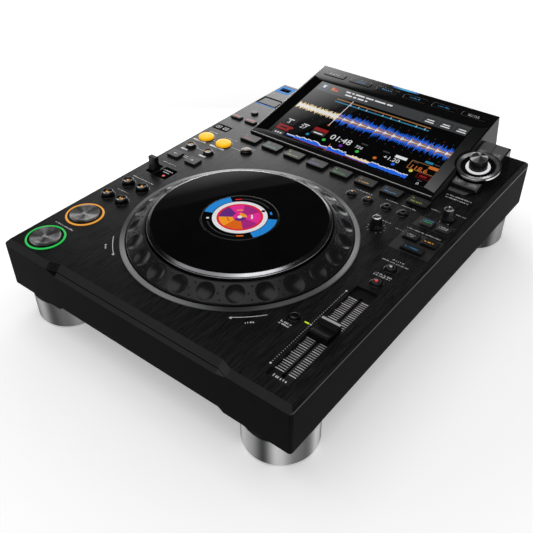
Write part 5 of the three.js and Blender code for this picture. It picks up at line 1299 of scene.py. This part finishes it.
dressed("media_block", "media_sockets", "player", "door_grey", satin_black, width=0.2)
frame_blue = lit("frame_blue", (0.008, 0.26, 0.78), 1, 0.5, 0.45)
frame_blue.node_tree.nodes["Principled BSDF"].inputs["Specular IOR Level"].default_value = 0.08
port = Vector((-149.5, 184, 85.5))
port_frame = bmesh.new()
for left, near, right, far in ((-10.4, 4.6, 10.4, 9.2), (-10.4, -9.2, 10.4, -4.8), (-10.4, -4.8, -7.2, 4.6),
                               (7.2, -4.8, 10.4, 4.6)):
    block(port_frame, port + Vector((left + right, near + far, 0)) / 2, (right - left, far - near, 0.5))
finished(eased(port_frame, 0.15, 2, 60), "port_frame", "player", "door_grey", frame_blue)
door_grey = moulded("door_grey", (0.035, 0.035, 0.036), (0.12, 0.12, 0.12), 0.3, 0.42, 2400, 0.00002, 0.15)
dressed("card_door", "card_lid", "card_door", "door_grey", door_grey, width=0.35, segments=3)
light_line = bmesh.new()
bar(light_line, (-144.8, 135.2), (30, 1.8), deck_top + 0.04)
printed(light_line, "card_light_line", "player", "deck_black", frame_blue)
lid_edge = bmesh.new()
for x, y, width, depth in ((-144.8, 154.2, 30, 2.4), (-158.6, 146, 2.4, 14), (-131, 146, 2.4, 14),
                           (-144.8, 137.6, 30, 1.8)):
    bar(lid_edge, (x, y), (width, depth), deck_top + on_print)
printed(lid_edge, "card_lid_edge", "card_door", "door_grey", black_and_painted_shade)


# Prints on the deck: pale ink screened on the brushed metal. Short runs of blocks stand where words
# would, and lines tie each word to its keys.

prints = bmesh.new()
print_height = deck_top + on_print
for x, y, width, rows, tall, seed, turn in (
        (-148, 45.6, 12, 1, 1.3, 51, 0), (-121, 45.2, 17, 1, 1.3, 52, 0), (-90, 42.2, 12, 1, 1.3, 53, 0),
        (-136, -14, 8, 2, 1.6, 54, 0), (-139, -35, 18, 1, 1.5, 55, 0), (-137, -75.5, 28, 1, 1.5, 56, 0),
        (-137.5, -102.5, 15, 1, 1.5, 57, 0), (-137, -178, 24, 1, 1.7, 58, 0), (56, 43, 20, 1, 1.3, 59, 0),
        (86.5, 45, 13, 1, 1.3, 60, 0), (105, 45, 15, 1, 1.3, 61, 0), (136, 90.2, 26, 1, 1.9, 62, 0),
        (136, 85.4, 24, 1, 1.9, 63, 0), (137, 16, 34, 1, 1.3, 64, 0), (139.5, -35, 11, 1, 1.5, 65, 0),
        (139, -39, 26, 1, 1.2, 66, 0), (139, -60.5, 16, 2, 1.6, 67, 0), (108, -158.5, 10, 2, 1.7, 68, 0),
        (116, 8, 9, 1, 1.1, 69, 0), (97, 11.4, 15, 1, 1.4, 70, 0), (128, 57, 9, 1, 1.2, 71, 0),
        (152, 62, 10, 1, 1.2, 72, 0), (-82, -176, 6, 1, 1.8, 74, -42), (84.6, -174.3, 7, 1, 1.8, 75, 43)):
    worded(prints, (x, y), width, print_height, tall, seed, 0, rows, 0.5, 2.6, turn)
for x, y, width in ((-148, 21.5, 18), (-122.5, 21.5, 20), (-149, -2.2, 9), (-122.5, -2.2, 9)):
    bar(prints, (x, y), (width, 2.6), print_height)
for start, end in (((-137.6, 31.5), (-130.4, 31.5)), ((-112, 31.5), (-97, 31.5)), ((-140, 7), (-128, 7)),
                   ((-140, 9.8), (-136.8, 7))):
    step = Vector(end) - Vector(start)
    bar(prints, (Vector(start) + Vector(end)) / 2, (step.length, 0.35), print_height, 0,
        math.degrees(math.atan2(step.y, step.x)))
for start, end, tip, way in ((-139, -125.5, -125.5, 1), (-54, -39.5, -54, -1)):
    sector(prints, jog[:2], (116.6, 117.2), (start, end), print_height)
    wedge(prints, round_from(jog, 117.3, tip), 1.7, print_height, tip + 90 * way)
for index in range(39):
    spot(prints, (124.5, -98.4 - 2.56 * index), 0.36, print_height, 0, 6)
for y in (-95.6, -147, -198.6):
    spot(prints, (124.5, y), 0.9, print_height, 0, 16)
printed(prints, "deck_prints", "player", "deck_black", print_white)
small_lamps = bmesh.new()
bar(small_lamps, (120.8, -147), (4.2, 1.5), print_height + 0.05)
for x in (-147.5, -122.5):
    bar(small_lamps, (x, 21.5), (1, 1), print_height + 0.03, 1)
spot(small_lamps, (-127, -57), 1.7, print_height + 0.06, 2)
printed(small_lamps, "deck_lamps", "player", "deck_black", lit("lamp_lime", (0.62, 0.75, 0.02), 1.1, 0.3),
        lit("lamp_dark", (0.01, 0.01, 0.01), 0.2), tempo_red)


# Key plates: thin sheets of smoked plastic let into the deck round the jog mode and sync keys, with
# two more as windows by the lever and above the loop keys.

def plate(shape, x, y, holes, height):
    """Flat sheet with square holes, made of the cells that no hole covers."""
    across = sorted({*x, *(side for hole in holes for side in hole[0])})
    along = sorted({*y, *(side for hole in holes for side in hole[1])})
    for left, right in zip(across, across[1:]):
        for near, far in zip(along, along[1:]):
            middle = ((left + right) / 2, (near + far) / 2)
            if not any(a[0] < middle[0] < a[1] and b[0] < middle[1] < b[1] for a, b in holes):
                bar(shape, middle, (right - left, far - near), height)


def key_hole(x, y, width, depth, gap=0.7):
    return (x - width / 2 - gap, x + width / 2 + gap), (y - depth / 2 - gap, y + depth / 2 + gap)


smoked = moulded("smoked_plate", (0.02, 0.02, 0.021), (0.05, 0.05, 0.05), 0.3, 0.4, 2200, 0.00001, 0.4, 0.3)
plates = bmesh.new()
plate(plates, (120.5, 157.5), (23.5, 40.5),
      [key_hole(132.5, 31, 13, 11), key_hole(149.5, 31, 13, 11)], on_deck)
plate(plates, (119.5, 159.5), (-20, 12.5),
      [key_hole(130.3, 3.5, 14, 10), key_hole(149, 3.5, 14, 10), key_hole(140, -13, 21, 9)], on_deck)
bar(plates, (-128.5, -52), (17, 20), on_deck, 1)
bar(plates, (-147.5, 60), (21, 12.5), on_deck, 1)
printed(plates, "key_plates", "player", "deck_black", smoked, black_and_painted_shade)
on_plate = on_deck + 0.04
plate_marks = bmesh.new()
for y, width, seed in ((-47.4, 12, 81), (-51, 8, 82)):
    worded(plate_marks, (-128.5, y), width, on_plate, 1.5, seed, gap=0.3)
for x in (-152.5, -142.5):
    plate(plate_marks, (x - 3.2, x + 3.2), (57.2, 62.8), [((x - 2.6, x + 2.6), (57.8, 62.2))], on_plate)
    bar(plate_marks, (x, 60), (2.6, 1), on_plate)
printed(plate_marks, "plate_marks", "player", "deck_black", print_white)


# Rear jacks: nickel shells pressed into a block on the jack board, with coloured plastic bushes in the
# phono jacks. All of them look out through the rear panel.

nickel, tree, shader, tarnish = speckled("nickel", 900, 0.2, 0.34, Metallic=1)
put(tree, shader["Base Color"], tinted(tree, tarnish["Height"], (0.5, 0.47, 0.42), (0.68, 0.65, 0.6)))
board_green, tree, shader, _ = speckled("board_green", 1500, 0.32, 0.46, Specular_IOR_Level=0.45)
tracks = node(tree, "ShaderNodeTexVoronoi", distance="MANHATTAN", feature="F1")
put(tree, tracks.inputs["Scale"], 160)
put(tree, tracks.inputs["Vector"], on_object(tree))
raised = between(tree, tracks.outputs["Distance"], 0.42, 0.46, 1, 0)
put(tree, shader["Base Color"], tinted(tree, raised, (0.004, 0.035, 0.012), (0.008, 0.07, 0.022)))
bumped(tree, raised, shader, 0.00002)
low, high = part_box("jack_board")
jack_mouths, board_surface = 198.5, low.z / mm + 3
jacks = shaded(eased(solid_of("jack_board"), 0.15, 1), lambda middle, normal:
               2 if middle.y > jack_mouths else 0 if middle.z < board_surface else 1)
finished(jacks, "jacks", "player", "socket_metal", board_green, satin_black, nickel, solid="jack_board")
for x, name, tone in ((19.74, "orange", (0.5, 0.12, 0.01)), (41.454, "white", (0.6, 0.6, 0.58)),
                      (57.575, "red", (0.4, 0.01, 0.012))):
    bush = turned([(1.7, 0.3), (1.7, 1), (2, 1.2), (3.2, 1.2), (3.4, 0.9), (3.4, 0.02)], 40,
                  soft=0.15, steps=2)
    bmesh.ops.transform(bush, matrix=Matrix.Translation((x * mm, high.y, 53.4 * mm)) @ turned_by(-90, "X"),
                        verts=bush.verts)
    finished(bush, "phono_bush_" + name, "player", "socket_metal",
             moulded("bush_" + name, tone, tone, 0.35, 0.45, 2000, 0.00001, 0.5, 0))


# Mains inlet and rocker: black moulded socket with three flat nickel pins, and a rocker switch that
# tips between its two ends.

dressed("mains_inlet", "inlet_shell", "player", "case_black", satin_black, width=0.3)
low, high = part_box("mains_inlet")
inlet = Vector(((low.x + high.x) / 2, high.y, (low.z + high.z) / 2))
pins = bmesh.new()
for x, z in ((-7, -2), (0, 2), (7, -2)):
    block(pins, (x, -10, z), (2, 14, 4), Matrix.Translation(inlet))
finished(eased(pins, 0.4, 2, 60), "inlet_pins", "player", "socket_metal", nickel)
dressed("power_switch", "rocker", "power_switch", "knob_black", key_plastic, width=0.5, segments=3)


# Boards and supply inside the case: green glass-fibre boards, and a mains supply in a folded steel
# cover.

steel, tree, shader, spangle = speckled("zinc_steel", 240, 0.3, 0.5, Metallic=0.9)
put(tree, shader["Base Color"], tinted(tree, spangle["Value"], (0.2, 0.205, 0.21), (0.5, 0.505, 0.51)))
dressed("main_board", "circuit_board", "player", "board_green", board_green, width=0.12, segments=1)
dressed("power_supply", "supply_cover", "player", "supply_steel", steel, width=0.5)


# Screws: blackened pan heads with a crossed recess, under the case and along the rear panel. Faint light and
# dark fans are painted on the heads as highlights.

screw_steel = spun("screw_steel", (0.09, 0.09, 0.09), (0.3, 0.42), 0.4)
recess_reach, recess_width, recess_floor = 1.7, 0.3, 0.7


def screw(shape, place):
    """Pan head that stands on its place, with its middle pushed in along a cross."""
    head = turned([(0, 0.6), (0.35, 0.6), (0.4, 1.5), (1.6, 1.75), (2.6, 1.2), (2.9, 0.3), (2.9, 0)], 24,
                  soft=0.25, steps=2)
    for vert in head.verts:
        offset = vert.co.xy / mm
        if offset.length < recess_reach and min(abs(offset.x), abs(offset.y)) < recess_width:
            vert.co.z = min(vert.co.z, recess_floor * mm)
    bmesh.ops.transform(head, matrix=place, verts=head.verts)
    made = mesh_of("screw", head)
    shape.from_mesh(made)
    bpy.data.meshes.remove(made)


screws = bmesh.new()
case_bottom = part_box("base_tray")[0].z
rear_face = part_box("rear_panel")[1].y
for x in (-150, -60, 60, 150):
    for y in (-60, 60, 190):
        screw(screws, Matrix.Translation((x * mm, y * mm, case_bottom)) @ turned_by(180, "X"))
for x in (-150, -60, 0, 70, 150):
    screw(screws, Matrix.Translation((x * mm, rear_face, 76 * mm)) @ turned_by(-90, "X"))
finished(screws, "case_screws", "player", "case_black", screw_steel)
